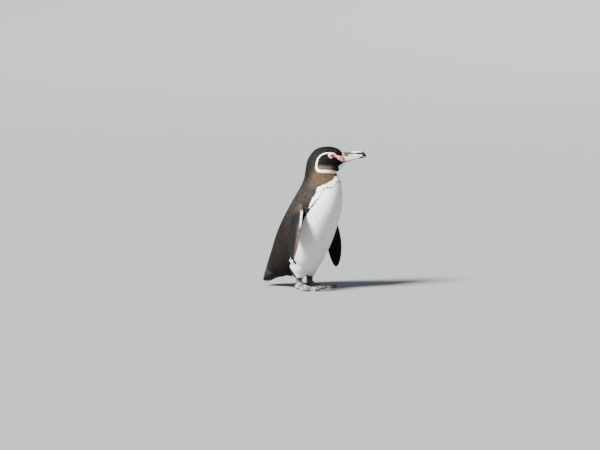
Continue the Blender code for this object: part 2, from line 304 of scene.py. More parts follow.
def paint(mesh, name, values):
    """A colour on each vertex, four numbers, under an attribute's name."""
    layer = mesh.attributes.new(name, "FLOAT_COLOR", "POINT")
    layer.data.foreach_set("color", np.asarray(values, np.float32).ravel())


def chart(mesh, name, places):
    """A UV map that gives each corner its vertex's place."""
    corners = np.empty(len(mesh.loops), np.int32)
    mesh.loops.foreach_get("vertex_index", corners)
    layer = mesh.uv_layers.new(name=name)
    layer.data.foreach_set("uv", places[corners].astype(np.float32).ravel())


def add(name, data):
    """A new object in the scene, for a mesh, a light or a camera."""
    made = bpy.data.objects.new(name, data)
    bpy.context.scene.collection.objects.link(made)
    return made


def put(name, mesh, look, slot, nodes):
    """Places a finished mesh as a piece of the bird that stands for CAD nodes."""
    piece = add(name, mesh)
    mesh.materials.append(look)
    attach(piece, "root")
    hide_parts(*nodes)


def closed_loft(rings):
    """Rings of points skinned along their row, with both ends closed on their middle points."""
    rows, columns = rings.shape[:2]
    points = np.vstack([rings.reshape(-1, 3), rings[0].mean(0), rings[-1].mean(0)])
    grid = np.arange(rows * columns).reshape(rows, columns)
    beside = np.roll(grid, -1, axis=1)
    walls = np.stack([grid[:-1], beside[:-1], beside[1:], grid[1:]], axis=-1).reshape(-1, 4)
    first = np.full(columns, rows * columns)
    ends = [
        np.column_stack([first, beside[0], grid[0]]),
        np.column_stack([first + 1, grid[-1], beside[-1]]),
    ]
    return points, outward(points, [walls, np.vstack(ends)])


def grid_values(values):
    """Values on a loft's grid with the two end points' own values added, each the mean of its ring."""
    values = np.asarray(values, float)
    return np.vstack([values.reshape(-1, values.shape[2]), values[0].mean(0), values[-1].mean(0)])


# ---------------------------------------------------------------- surfaces


def flipper_frame(side):
    """Where the blade hangs: shoulder, directions down it, along its chord and outwards, stretch, bow."""
    shoulder, tip, outward_turn, bow = FLIPPER_POSE[side]
    sign = side_sign(side)
    shoulder, tip = np.array(shoulder, float), np.array(tip, float)
    down = unit(tip - shoulder)
    turned = math.radians(outward_turn)
    ahead = np.array([math.cos(turned), sign * math.sin(turned), 0.0])
    chord = unit(ahead - down * ahead.dot(down))
    out = np.cross(chord, down) * sign
    stretch = np.linalg.norm(tip - shoulder) / FLIPPER_SPAN
    return shoulder, down, chord, out, stretch, bow


def flipper_at(side, place, turn, depth=0.0):
    """The blade: an oval between the leading and trailing edges, thicker ahead, on a bowed spine.

    Point = shoulder + reach down the spine + bow * sin(pi * reach / span) outwards
    + chord * (middle + half * cos(turn)) + out * half thickness * sin(turn) * (0.72 + 0.28 cos(turn)).
    """
    shoulder, down, chord, out, stretch, bow = flipper_frame(side)
    row = through(FLIPPER, np.clip(place, 0, len(FLIPPER) - 1))
    reach, lead, trail, thick = (row[..., k] for k in range(4))
    depth = np.broadcast_to(np.asarray(depth, float), reach.shape)
    half = np.maximum((lead - trail) / 2 - depth, 0.3)
    wall = np.maximum(thick / 2 - depth, 0.15)
    across = (lead + trail) / 2 + half * np.cos(turn)
    up = wall * np.sin(turn) * (0.72 + 0.28 * np.cos(turn))
    up = up + bow * np.sin(np.pi * np.clip(reach / FLIPPER_SPAN, 0, 1))
    along = (reach * stretch)[..., None] * down
    return shoulder + along + across[..., None] * chord + up[..., None] * out


def in_flipper(side, points, margin, start):
    """Whether points lie inside the blade grown by a margin and beyond a reach, by its oval there."""
    shoulder, down, chord, out, stretch, bow = flipper_frame(side)
    stations, lead, trail, thick = np.array(FLIPPER, float).T
    off = points - shoulder
    reach = off @ down / stretch
    held = np.clip(reach, 0, FLIPPER_SPAN)
    lead = np.interp(held, stations, lead) + margin
    trail = np.interp(held, stations, trail) - margin
    thick = np.interp(held, stations, thick) * 0.86 + 2 * margin
    across = (off @ chord - (lead + trail) / 2) / ((lead - trail) / 2)
    up = (off @ out - bow * np.sin(np.pi * held / FLIPPER_SPAN)) / (thick / 2)
    return (across**2 + up**2 < 1) & (reach > start) & (reach < FLIPPER_SPAN + margin)


def leg_at(side, place, turn, depth=0.0):
    """The feathered cuff: level ovals that narrow from the belly down to the shank."""
    row = through(LEG, np.clip(place, 0, len(LEG) - 1))
    ankle_x, ankle_y = ANKLE[side]
    depth = np.broadcast_to(np.asarray(depth, float), row.shape[:-1])
    x = ankle_x + row[..., 1] + np.maximum(row[..., 3] - depth, 0.5) * np.cos(turn)
    aside = side_sign(side) * row[..., 2]
    y = ankle_y + aside + np.maximum(row[..., 4] - depth, 0.5) * np.sin(turn)
    return np.stack([x, y, row[..., 0] + 0 * y], axis=-1)


def in_leg(side, points, margin):
    """Whether points lie inside the cuff grown by a margin, by its level oval at their height."""
    table = np.array(LEG, float)[::-1]
    held = np.clip(points[..., 2], table[0, 0], table[-1, 0])
    ahead, aside, half_x, half_y = (np.interp(held, table[:, 0], table[:, k]) for k in range(1, 5))
    ankle_x, ankle_y = ANKLE[side]
    x = (points[..., 0] - ankle_x - ahead) / (half_x + margin)
    y = (points[..., 1] - ankle_y - side_sign(side) * aside) / (half_y + margin)
    return (x**2 + y**2 < 1) & (points[..., 2] < table[-1, 0] + 10)


def in_body(points, sunk, low=0.0, high=TRUNK_END):
    """Whether points lie deeper than a depth in the body, by the nearest place of a coarse net."""
    t, a = net(np.linspace(low, high, 56), circle(72))
    knots = body_at(t, a).reshape(-1, 3)
    by_place, by_turn = slopes(body_at, t, a, 0.0, 0.01)
    middle = through([(r[0] + r[2], 0, r[1] + r[3]) for r in RIB_ROWS], t + VENT_RIB) / 2
    away = knots - middle.reshape(-1, 3)
    normal = unit(np.cross(by_turn, by_place).reshape(-1, 3))
    normal = normal * np.sign(dots(normal, away))[:, None]
    inside = np.zeros(len(points), bool)
    batch = 2000
    for start in range(0, len(points), batch):
        some = points[start : start + batch]
        near = ((some[:, None] - knots) ** 2).sum(-1).argmin(1)
        inside[start : start + batch] = dots(some - knots[near], normal[near]) < -sunk
    return inside


# ---------------------------------------------------------------- markings


def in_outline(x, z, corners):
    """Even-odd test of points against a closed outline."""
    ax, az = np.array(corners, float).T
    bx, bz = np.roll(ax, -1), np.roll(az, -1)
    x, z = x[..., None], z[..., None]
    spans = (az > z) != (bz > z)
    crossing = ax + (z - az) * (bx - ax) / np.where(bz == az, 1e-9, bz - az)
    return (np.sum(spans & (x < crossing), axis=-1) % 2) == 1


def to_line(points, corners):
    """Distance of points to a run of straight pieces, and how far along the run the nearest place is."""
    corners = np.array(corners, float)
    best = np.full(points.shape[:-1], 1e9)
    along = np.zeros(points.shape[:-1])
    for k in range(len(corners) - 1):
        start, run = corners[k], corners[k + 1] - corners[k]
        share = np.clip((points - start) @ run / (run @ run), 0, 1)
        gap = np.linalg.norm(points - start - share[..., None] * run, axis=-1)
        closer = gap < best
        best = np.where(closer, gap, best)
        along = np.where(closer, (k + share) / (len(corners) - 1), along)
    return best, along


# The white front begins this many degrees from the middle of the back, rib by rib.
FRONT_EDGE = (
    (0.0, 150), (1.26, 136), (1.75, 120), (2.15, 108), (2.64, 104), (3.03, 101), (3.45, 98),
    (3.96, 97), (4.46, 98), (4.92, 103), (5.43, 100), (5.93, 104), (6.25, 104), (6.49, 106),
    (6.66, 118), (6.83, 128), (7.10, 142), (7.42, 156), (7.63, 164), (7.66, 181),
)
# The dark breast band: rib and degrees, from the throat down the flank to the thigh.
BREAST_BAND = (
    (7.08, 180), (7.07, 172), (6.84, 163), (6.60, 154), (6.46, 138), (6.40, 127), (6.17, 119),
    (5.97, 116), (5.80, 117), (5.51, 112), (5.36, 110), (5.04, 106), (4.69, 102), (4.30, 99),
    (3.80, 99), (3.30, 101), (2.80, 105), (2.56, 109), (2.31, 115), (2.10, 123), (1.84, 134),
    (1.64, 142),
)
# The white line round the cheek, seen square from the side: x, z.
CHEEK_LINE = (
    (50.0, 333.9), (46.3, 333.6), (39.8, 333.3), (32.5, 331.2), (25.9, 327.5), (20.6, 321.0),
    (18.2, 314.0), (17.8, 306.0), (18.6, 299.5), (22.2, 294.4), (28.4, 291.2), (36.0, 290.4),
    (44.7, 290.2), (52.0, 289.8), (58.0, 288.2), (63.0, 286.4), (69.0, 285.4),
)
# Half the line's width, by the share of its run.
CHEEK_WIDTH = ((0.0, 1.2), (0.25, 1.4), (0.45, 1.9), (0.6, 2.8), (0.7, 3.4), (0.85, 3.3), (1.0, 2.3))
# The black cheek that the line bounds, closed along the bill's root.
CHEEK_FRONT = ((72.0, 290.0), (84.0, 303.0), (80.0, 318.0), (66.0, 334.0), (58.0, 335.5))
CHEEK_PATCH = CHEEK_LINE[:-1] + CHEEK_FRONT
# The white chin patch behind the lower bill begins ahead of these heights and distances.
CHIN_EDGE = ((294.0, 70.0), (301.6, 70.2), (307.3, 73.0), (311.4, 74.0))
# The bare pink strip between the eye and the gape, from the side: x, z.
BARE_FACE = (
    (59.5, 333.0), (64.5, 331.8), (69.1, 328.9), (74.8, 327.0), (87.0, 326.6), (87.0, 308.7),
    (84.6, 308.6), (77.3, 312.4), (70.8, 317.2), (65.6, 322.2), (61.5, 325.0),
)
BARE_START = 10.5  # the rib ahead of which the strip is bare
SKIN_SHADE = 0.4  # the shade of plumage painted on the skin under the coat


def side_degrees(turn):
    """Degrees from the middle of the back, 0 to 180 on either side."""
    return np.abs((np.degrees(turn) + 180) % 360 - 180)


def wander(points, size, seed):
    """A slow irregular swell between about -1 and 1: three sines across the body, a size in mm."""
    k = FULL_TURN / size
    x, y, z = (points[..., i] for i in range(3))
    first = np.sin(k * (x + 0.6 * z) + seed) * np.sin(k * (0.8 * y - 0.5 * z) + 1.7 * seed)
    second = np.sin(1.9 * k * (0.7 * x - z) + 2.3 * seed) * np.sin(2.3 * k * (y + 0.4 * x) + seed)
    return 0.62 * first + 0.38 * second


def front_marks(place, flat, side):
    """Where the front is white, and where the dark band runs over it, broken up across the breast."""
    edge = by_table(FRONT_EDGE, place) + 1.6 * wander(flat, 9, 3.1)
    white = (side > edge) & (place < FRONT_EDGE[-1][0]) & (place > -0.2)
    run = through(BREAST_BAND, np.linspace(0, len(BREAST_BAND) - 1, 90))
    line = flat_body(run[:, 0], np.radians(run[:, 1]))
    folded = np.stack([flat[..., 0], np.abs(flat[..., 1]), flat[..., 2]], axis=-1)
    gap, along = to_line(folded, line)
    half = 1.35 + 1.3 * wander(flat, 7, 0.7) + 1.3 * smooth((along - 0.42) / 0.2)
    unbroken = (wander(flat, 3.4, 4.4) > -0.42) | (along > 0.45)
    return white, white & (gap < half) & unbroken & (place < 7.3)


def head_marks(place, flat, side):
    """The cheek, its white line and the chin, how far the cheek pales downwards, and a painted glint above
    the lore.
    """
    x, z = flat[..., 0], flat[..., 2]
    on_head = place > 7.9
    gap, share = to_line(flat[..., [0, 2]], CHEEK_LINE)
    width = by_table(CHEEK_WIDTH, share) + 0.25 * wander(flat, 5, 5.2)
    cheek = in_outline(x, z, CHEEK_PATCH) & on_head
    chin = (x > by_table(CHIN_EDGE, z)) & (z < 311.5) & (z > 293.5) & (side > 140)
    snowy = ((gap < width) | chin) & on_head
    fade = z + 2.2 * wander(flat, 8, 1.3) + 0.05 * (x - 40)
    low = smooth((307.5 - fade) / 8.5) * (1 - 0.5 * smooth((298.0 - fade) / 5.0))
    low = low * (1 - smooth((x - 50 - 0.4 * (305 - z)) / 14))
    # Painted glint: a faint pale spot above the lore, ahead of the eye.
    painted_glint = bell((x - 62.5) / 2.6, (z - 338.6) / 2.0) * (place > 10)
    return cheek, snowy, low, painted_glint


def body_markings(place, turn):
    """White, black and brown shares of the plumage at places of the body, from its drawn edges; the black
    over the lower back is partly painted shade.
    """
    flat = flat_body(place, turn)
    side = side_degrees(turn)
    white, band = front_marks(place, flat, side)
    cheek, snowy, low, painted_glint = head_marks(place, flat, side)
    pale = np.where(band, 0.0, np.where(snowy, 1.0, white * 1.0))
    # The painted glint lifts the dark there by a touch.
    pale = np.maximum(pale, 0.012 * painted_glint)
    pale = np.maximum(pale, cheek * ~snowy * low * (0.055 + 0.05 * wander(flat, 3.0, 6.1)))

    crown = smooth((place - 9.3) / 1.2) * smooth((112 - side) / 18)
    nape = 0.84 * smooth((place - 6.2) / 1.4) * smooth((84 - side) / 40)
    # Partly the lower back's own dark plumage and partly painted shade: it blackens from about rib 5.3 back,
    # easing on the rump.
    loins_and_painted_shade = 0.95 * smooth((5.3 - place) / 2.0) * (1 - 0.4 * smooth((0.3 - place) / 1.3))
    loins_and_painted_shade = loins_and_painted_shade * (0.86 + 0.14 * wander(flat, 34, 2.2))
    black = np.where(cheek, 1 - 0.9 * low, np.maximum(np.maximum(0.90 * crown, nape), loins_and_painted_shade))
    black = np.where(snowy, 0.0, np.where(band, 1.0, black))

    neck = smooth((place - 5.9) / 1.2) * (1 - crown) * smooth((side - 50) / 50)
    neck = neck * (1 - 0.72 * smooth((place - 8.2) / 1.0))
    brown = np.clip(np.where(cheek, 1.1 * low, neck), 0, 1)
    rump = 0.36 * smooth((0.7 - place) / 1.4)
    return np.stack([pale, np.clip(black, 0, 1), np.maximum(brown, rump)], axis=-1)


def flipper_markings(place, turn):
    """Pale along the leading edge as far as the wrist, a painted sunlit highlight on the outer face beyond
    it and over the shoulder, and painted shade, near black, on the inner face.
    """
    lead, outer = np.cos(turn), np.sin(turn)
    pale = smooth((lead - 0.76) / 0.16) * (1 - smooth((place - 2.4) / 0.9))
    pale = pale * smooth((place - 0.9) / 0.5) * (outer > -0.2)
    # Painted highlight: a warm light band along the outer face's leading edge from the wrist on, and over
    # the shoulder, where the sun falls.
    sunlit_highlight = smooth((lead - 0.35) / 0.4) * smooth((place - 2.2) / 0.8) * (1 - smooth((place - 5.6) / 1.0))
    sunlit_highlight = sunlit_highlight * smooth((outer - 0.02) / 0.25)
    sunlit_highlight = np.maximum(sunlit_highlight, 0.6 * (1 - smooth((place - 0.75) / 0.75)) * (outer > -0.3))
    # Painted shade: the inner face, turned to the body, is painted near black.
    black = smooth((0.1 - outer) / 0.3)
    return np.stack([pale, black, sunlit_highlight * (1 - pale)], axis=-1)


def leg_markings(place, turn):
    """White before, dark behind and round the shank."""
    white = smooth((np.cos(turn) + 0.25) / 0.3) * (1 - smooth((place - 2.2) / 0.5))
    return np.stack([white, (1 - white) * 0.75, 0 * white], axis=-1)


def on_skin(marks):
    """Markings on a loft's grid as the skin's own colours, with one shade all over."""
    return grid_values(np.concatenate([marks, np.full(marks.shape[:2] + (1,), SKIN_SHADE)], axis=-1))


# ---------------------------------------------------------------- feathers

# One feather is a closed leaf: four rings of left, top, right and underside points, and a tip.
LEAF_RINGS = ((0.0, 0.55), (0.38, 1.0), (0.70, 0.90), (0.90, 0.48))  # share of its length, of its width
LEAF_ALONG = np.append(np.repeat([along for along, wide in LEAF_RINGS], 4), 1.0)
LEAF_WIDE = np.append(np.repeat([wide for along, wide in LEAF_RINGS], 4), 0.0)
LEAF_ACROSS = np.append(np.tile([-1.0, 0.0, 1.0, 0.0], 4), 0.0)
LEAF_FACE = np.append(np.tile([0.0, 1.0, 0.0, -1.0], 4), 0.0)
LEAF_POINTS = len(LEAF_ALONG)
# A plane filled evenly steps by these shares of its width and of its height.
GOLDEN_STEPS = (0.7548776662466927, 0.5698402909980532)
PATCH = 0.003  # one feather's patch on the unwrapped surface


def leaf_faces(count):
    """The leaf's faces for a number of feathers, four-cornered walls and three-cornered ends."""
    ring = np.arange(4)
    after = np.roll(ring, -1)
    walls = np.vstack([np.column_stack([ring, after, after + 4, ring + 4]) + 4 * k for k in range(3)])
    tip = np.column_stack([ring + 12, after + 12, np.full(4, LEAF_POINTS - 1)])
    root = np.array([[3, 2, 1, 0]])
    shift = (LEAF_POINTS * np.arange(count))[:, None, None]
    quads = (np.vstack([walls, root])[None] + shift).reshape(-1, 4)
    return [quads, (tip[None] + shift).reshape(-1, 3)]


def cut_feathers(length, spread, slimness, stray, depth, uneven):
    """Each feather's own length, width, stray from the lie, root depth and shade, drawn at random."""
    count = len(length)
    length = length * rng.uniform(*spread, count)
    width = length * rng.uniform(*slimness, count)
    yaw = np.radians(rng.normal(0, stray, count))
    sunk = depth + rng.uniform(-uneven, uneven, count)
    return length, width, yaw, sunk, rng.uniform(0, 1, count)


def lay(surface, place, turn, length, width, yaw, sunk, sense, thick, camber, lie, hold):
    """Feathers over a surface: each point is offset from the root in the surface's own two directions.

    Along the vane the depth runs from sunk to nothing as sunk * (1 - share) ** lie, and the edges
    droop by camber * across ** 2, so that every tip ends flush with the outline. Returns the points
    and their places and turns, the places held between two limits.
    """
    by_place, by_turn = slopes(surface, place, turn, sunk, 0.01)
    normal = unit(np.cross(by_turn, by_place))
    ahead = sense * unit(by_place)
    beside = np.cross(normal, ahead)
    flow = ahead * np.cos(yaw)[:, None] + beside * np.sin(yaw)[:, None]
    e, f, g = dots(by_place, by_place), dots(by_place, by_turn), dots(by_turn, by_turn)
    scale = 1 / (e * g - f * f)
    along = length[:, None] * LEAF_ALONG
    across = width[:, None] / 2 * LEAF_WIDE * LEAF_ACROSS
    places, turns = place[:, None], turn[:, None]
    for direction, steps in ((flow, along), (np.cross(normal, flow), across)):
        p, q = dots(direction, by_place), dots(direction, by_turn)
        places = places + ((g * p - f * q) * scale)[:, None] * steps
        turns = turns + ((e * q - f * p) * scale)[:, None] * steps
    taper = np.interp(LEAF_ALONG, (0, 0.6, 0.88, 1), (1.0, 0.8, 0.25, 0.0))
    depth = sunk[:, None] * (1 - LEAF_ALONG) ** lie + camber * (LEAF_ACROSS * LEAF_WIDE) ** 2
    depth = depth - thick * taper * LEAF_FACE / 2
    places = np.clip(places, *hold)
    return surface(places, turns, depth), places, turns


def scatter(area, places, turns, seed):
    """Even places over a weighted net: a two-dimensional golden sequence warped by running sums."""
    rows, columns = area.shape
    number = np.arange(int(area.sum())) + seed
    first, second = ((0.5 + number * step) % 1.0 for step in GOLDEN_STEPS)
    downward = np.concatenate([[0], np.cumsum(area.sum(1))]) / area.sum()
    row_place = np.interp(first, downward, np.arange(rows + 1))
    row = np.minimum(row_place.astype(int), rows - 1)
    running = np.cumsum(area, axis=1) / np.maximum(area.sum(1, keepdims=True), 1e-9)
    running = np.hstack([np.zeros((rows, 1)), running])
    flat = (running + np.arange(rows)[:, None] * 2).ravel()
    spot = np.searchsorted(flat, second + 2 * row) - 1
    spot = np.clip(spot, row * (columns + 1), row * (columns + 1) + columns - 1)
    part = (second + 2 * row - flat[spot]) / np.maximum(flat[spot + 1] - flat[spot], 1e-9)
    column = spot - row * (columns + 1) + np.clip(part, 0, 1)
    place = np.interp(row_place, np.arange(rows + 1), places)
    return place, np.interp(column, np.arange(columns + 1), turns)


def roots(surface, low, high, spacing, seed, rows, columns):
    """Feather roots on a surface between two places, a spacing apart that may change with place and turn."""
    places = np.linspace(low, high, rows + 1)
    turns = np.linspace(0.0, FULL_TURN, columns + 1)
    p, t = net((places[1:] + places[:-1]) / 2, (turns[1:] + turns[:-1]) / 2)
    by_place, by_turn = slopes(surface, p, t, 0.0, 0.005)
    cell = np.linalg.norm(np.cross(by_place, by_turn), axis=-1) * (high - low) / rows
    cell = cell * FULL_TURN / columns
    return scatter(cell / spacing(p, t) ** 2, places, turns, seed)


def coat(name, leaves, marks, shade, turn, share, look, slot, nodes):
    """Joins feathers into one piece, with their markings and the two charts their finish needs.

    Vane runs 0 to 1 across and along each feather. OFBake puts each feather's small patch at its
    root's place on the unwrapped surface: its turn, and its share of the piece's run.
    """
    count = len(leaves)
    faces = leaf_faces(count)
    if volume(leaves[0], leaf_faces(1)) < 0:
        faces = turned_over(faces)
    mesh = mesh_from(name, leaves.reshape(-1, 3), faces)
    mesh.set_sharp_from_angle(angle=math.radians(70))
    marks = np.broadcast_to(marks.reshape(count, -1, 3), (count, LEAF_POINTS, 3))
    shade = np.broadcast_to(shade[:, None, None], (count, LEAF_POINTS, 1))
    paint(mesh, "markings", np.concatenate([marks, shade], axis=2))
    vane = np.column_stack([0.5 + 0.5 * LEAF_ACROSS * LEAF_WIDE, LEAF_ALONG])
    vane += np.outer(LEAF_FACE < 0, (0.04, -0.03))  # so that the underside doesn't lie on the top
    chart(mesh, "Vane", np.tile(vane, (count, 1)))
    spots = np.column_stack([(turn / FULL_TURN) % 1.0, share])
    patch = (PATCH / 2 + np.clip(spots, 0, 1) * (1 - 2 * PATCH))[:, None] + PATCH * vane[None]
    chart(mesh, "OFBake", patch.reshape(-1, 2))
    put(name, mesh, look, slot, nodes)


# ---------------------------------------------------------------- finishes

# Colours that vary, each as its darker and its lighter end, in linear red, green and blue.
TONES = {
    "back": ((0.0050, 0.0043, 0.0039), (0.0140, 0.0114, 0.0097)),
    "neck": ((0.032, 0.018, 0.0105), (0.098, 0.060, 0.037)),
    "ink": ((0.0005, 0.00045, 0.00045), (0.0024, 0.0021, 0.0020)),
    "snow": ((0.84, 0.84, 0.835), (0.92, 0.92, 0.915)),
    "blade": ((0.0014, 0.0015, 0.0021), (0.0056, 0.0058, 0.0076)),
    # Painted shade on the flipper's inner face.
    "inner_blade": ((0.0008, 0.0008, 0.0009), (0.0035, 0.0032, 0.0034)),
    # Painted highlight on the flipper's sunlit outer face.
    "warm_blade": ((0.020, 0.013, 0.009), (0.075, 0.051, 0.037)),
    "pale_edge": ((0.42, 0.375, 0.35), (0.74, 0.69, 0.66)),
    "tail": ((0.0072, 0.0057, 0.0044), (0.0215, 0.0165, 0.0120)),
    "bare_pink": ((0.52, 0.120, 0.105), (0.68, 0.32, 0.285)),
    "leather": ((0.040, 0.034, 0.034), (0.230, 0.200, 0.198)),
    "shank": ((0.004, 0.0035, 0.0035), (0.020, 0.017, 0.017)),
    "slate_horn": ((0.0065, 0.0056, 0.0052), (0.080, 0.064, 0.055)),
    # Also the painted highlight along the upper bill's ridge beyond its groove.
    "cream_horn": ((0.50, 0.43, 0.36), (0.80, 0.74, 0.66)),
    "white_horn": ((0.76, 0.68, 0.65), (0.90, 0.87, 0.84)),
    "black_horn": ((0.003, 0.0027, 0.0027), (0.012, 0.0105, 0.0105)),
    # Painted highlight along the upper bill's ridge.
    "ridge_highlight_horn": ((0.045, 0.037, 0.030), (0.20, 0.17, 0.135)),
    "dusky_horn": ((0.042, 0.031, 0.033), (0.115, 0.090, 0.086)),
    "flushed_horn": ((0.34, 0.12, 0.09), (0.62, 0.34, 0.28)),
    "pink_horn": ((0.62, 0.10, 0.055), (0.74, 0.34, 0.27)),
    "iris": ((0.085, 0.005, 0.004), (0.30, 0.020, 0.012)),
}
# Single colours that are laid over those.
TINTS = {
    "worn_back": (0.048, 0.037, 0.0295),
    "back_fringe": (0.055, 0.043, 0.0345),
    "soiled_snow": (0.56, 0.53, 0.46),
    "feather_shaft": (0.05, 0.04, 0.035),
    "blade_fringe": (0.030, 0.025, 0.023),
    "tail_streak": (0.030, 0.022, 0.016),
    "tail_fringe": (0.052, 0.038, 0.028),
    "tail_shaft": (0.005, 0.004, 0.0035),
    "under_coat": (0.004, 0.0035, 0.003),
    "chalk": (0.82, 0.64, 0.61),
    "freckle": (0.060, 0.040, 0.040),
    "grey_lid": (0.50, 0.44, 0.43),
    "blotch": (0.40, 0.315, 0.29),
    "scale_gap": (0.022, 0.019, 0.019),
    "pupil": (0.001, 0.001, 0.001),
    "eye_rim": (0.02, 0.006, 0.006),
}


def node(tree, kind, **settings):
    made = tree.nodes.new(kind)
    for name, value in settings.items():
        setattr(made, name, value)
    return made


def feed(tree, source, target):
    """Joins an output to an input, or sets the input when the source is a plain value."""
    if isinstance(source, bpy.types.NodeSocket):
        tree.links.new(source, target)
    else:
        target.default_value = source


def maths(tree, operation, *sources):
    made = node(tree, "ShaderNodeMath", operation=operation)
    for source, target in zip(sources, made.inputs):
        feed(tree, source, target)
    return made.outputs[0]


def times(tree, a, b):
    return maths(tree, "MULTIPLY", a, b)


def times_plus(tree, a, b, c):
    """a * b + c"""
    return maths(tree, "MULTIPLY_ADD", a, b, c)


def blend(tree, share, a, b):
    """Colour a going to colour b by a share. Each is an output, the name of a tint, or three numbers."""
    made = node(tree, "ShaderNodeMix", data_type="RGBA")
    feed(tree, share, made.inputs[0])
    for source, target in ((a, made.inputs[6]), (b, made.inputs[7])):
        if not isinstance(source, bpy.types.NodeSocket):
            source = (*TINTS.get(source, source), 1.0)
        feed(tree, source, target)
    return made.outputs[2]


def tone(tree, share, name):
    """A varying colour going from its darker to its lighter end by a share."""
    return blend(tree, share, *TONES[name])


def ramp(tree, source, low, high, to_low=0.0, to_high=1.0):
    """A smooth step of a value between two limits."""
    made = node(tree, "ShaderNodeMapRange", interpolation_type="SMOOTHSTEP")
    feed(tree, source, made.inputs[0])
    for value, socket in zip((low, high, to_low, to_high), made.inputs[1:5]):
        socket.default_value = value
    return made.outputs[0]


def fall(tree, source, low, high):
    """A smooth step down from 1 to 0 between two limits."""
    return ramp(tree, source, low, high, 1.0, 0.0)


def speckle(tree, scale, detail=2.0, stretch=(1, 1, 1), chart_name=None):
    """Noise on Object coordinates, its scale in patches a metre, or on a chart the piece carries."""
    turn = node(tree, "ShaderNodeMapping")
    turn.inputs["Scale"].default_value = stretch
    if chart_name is None:
        place = node(tree, "ShaderNodeTexCoord").outputs["Object"]
    else:
        place = node(tree, "ShaderNodeUVMap", uv_map=chart_name).outputs[0]
    tree.links.new(place, turn.inputs["Vector"])
    noise = node(tree, "ShaderNodeTexNoise")
    tree.links.new(turn.outputs[0], noise.inputs["Vector"])
    noise.inputs["Scale"].default_value = scale
    noise.inputs["Detail"].default_value = detail
    return noise.outputs[0]


def cells(tree, scale):
    """Cells on Object coordinates: the distance to the nearest edge between them."""
    place = node(tree, "ShaderNodeTexCoord")
    made = node(tree, "ShaderNodeTexVoronoi", feature="DISTANCE_TO_EDGE")
    tree.links.new(place.outputs["Object"], made.inputs["Vector"])
    made.inputs["Scale"].default_value = scale
    return made.outputs["Distance"]


def painted(tree, name):
    """The red, green, blue and alpha painted on the piece's vertices under a name."""
    layer = node(tree, "ShaderNodeAttribute", attribute_name=name)
    split = node(tree, "ShaderNodeSeparateColor")
    tree.links.new(layer.outputs["Color"], split.inputs[0])
    return (*split.outputs[:3], layer.outputs["Alpha"])


def charted(tree):
    """The two places of the piece's Vane chart, and how far the first is off the middle."""
    place = node(tree, "ShaderNodeUVMap", uv_map="Vane")
    split = node(tree, "ShaderNodeSeparateXYZ")
    tree.links.new(place.outputs[0], split.inputs[0])
    off = maths(tree, "ABSOLUTE", maths(tree, "SUBTRACT", split.outputs[0], 0.5))
    return split.outputs[0], split.outputs[1], off


def group(name, inputs, outputs):
    """An empty shader group with float or colour sockets, and its two ends."""
    tree = bpy.data.node_groups.new(name, "ShaderNodeTree")
    for label, kind, in_out in [(*i, "INPUT") for i in inputs] + [(*o, "OUTPUT") for o in outputs]:
        tree.interface.new_socket(label, in_out=in_out, socket_type="NodeSocket" + kind)
    return tree, node(tree, "NodeGroupInput"), node(tree, "NodeGroupOutput")


def vane_group():
    """Barbs that slant from the shaft, as a height, with masks for the shaft and the worn tip."""
    tree, ends, out = group(
        "vane", [("Barbs", "Float")], [("Height", "Float"), ("Shaft", "Float"), ("Fringe", "Float")]
    )
    along, off = charted(tree)[1:]
    slant = times_plus(tree, off, -0.55, along)
    barbs = maths(tree, "SINE", times(tree, slant, ends.outputs["Barbs"]))
    shaft = fall(tree, off, 0.02, 0.06)
    height = times_plus(tree, shaft, 1.2, times(tree, barbs, 0.35))
    fringe = ramp(tree, times_plus(tree, off, 0.5, along), 0.82, 1.02)
    for source, target in zip((height, shaft, fringe), out.inputs):
        tree.links.new(source, target)
    return tree


def plumage_group():
    """The plumage's colour from its markings: dark back, brown neck, white front, black bands."""
    tree, ends, out = group(
        "plumage", [("Fringe", "Float"), ("Shaft", "Float")], [("Colour", "Color"), ("Gloss", "Float")]
    )
    white, black, brown, shade = painted(tree, "markings")
    patch = speckle(tree, 55.0, 3.0)
    worn = times(tree, ramp(tree, shade, 0.35, 1.0), ramp(tree, patch, 0.38, 0.66))
    back = blend(tree, times(tree, worn, 0.40), tone(tree, shade, "back"), "worn_back")
    fringe = times(tree, ends.outputs["Fringe"], ramp(tree, shade, 0.2, 0.9, 0.1, 0.7))
    back = blend(tree, fringe, back, "back_fringe")
    colour = blend(tree, brown, back, tone(tree, shade, "neck"))
    colour = blend(tree, black, colour, tone(tree, shade, "ink"))
    soiled = ramp(tree, speckle(tree, 26.0, 4.0), 0.56, 0.78, 0.0, 0.30)
    snow = blend(tree, soiled, tone(tree, shade, "snow"), "soiled_snow")
    colour = blend(tree, white, colour, snow)
    colour = blend(tree, times(tree, ends.outputs["Shaft"], 0.25), colour, "feather_shaft")
    gloss = ramp(tree, patch, 0.3, 0.7, 0.60, 0.76)
    for source, target in zip((colour, gloss), out.inputs):
        tree.links.new(source, target)
    return tree


VANE = vane_group()
PLUMAGE = plumage_group()
SOFT_BARBS = 190.0  # how finely the barbs of the coat's and of the tail's feathers are ribbed
STIFF_BARBS = 640.0


def finish(name, settings):
    """A material with a Principled shader, and the shader's own values that are the same all over."""
    made = bpy.data.materials.new(name)
    made.use_nodes = True
    shader = made.node_tree.nodes["Principled BSDF"]
    for label, value in settings.items():
        shader.inputs[label].default_value = value
    return made, made.node_tree, shader


def cover(tree, shader, colour, roughness):
    tree.links.new(colour, shader.inputs["Base Color"])
    tree.links.new(roughness, shader.inputs["Roughness"])


def raised(tree, shader, height, strength, distance):
    """A bump on the shader from a height."""
    bump = node(tree, "ShaderNodeBump")
    bump.inputs["Strength"].default_value = strength
    bump.inputs["Distance"].default_value = distance
    tree.links.new(height, bump.inputs["Height"])
    tree.links.new(bump.outputs[0], shader.inputs["Normal"])


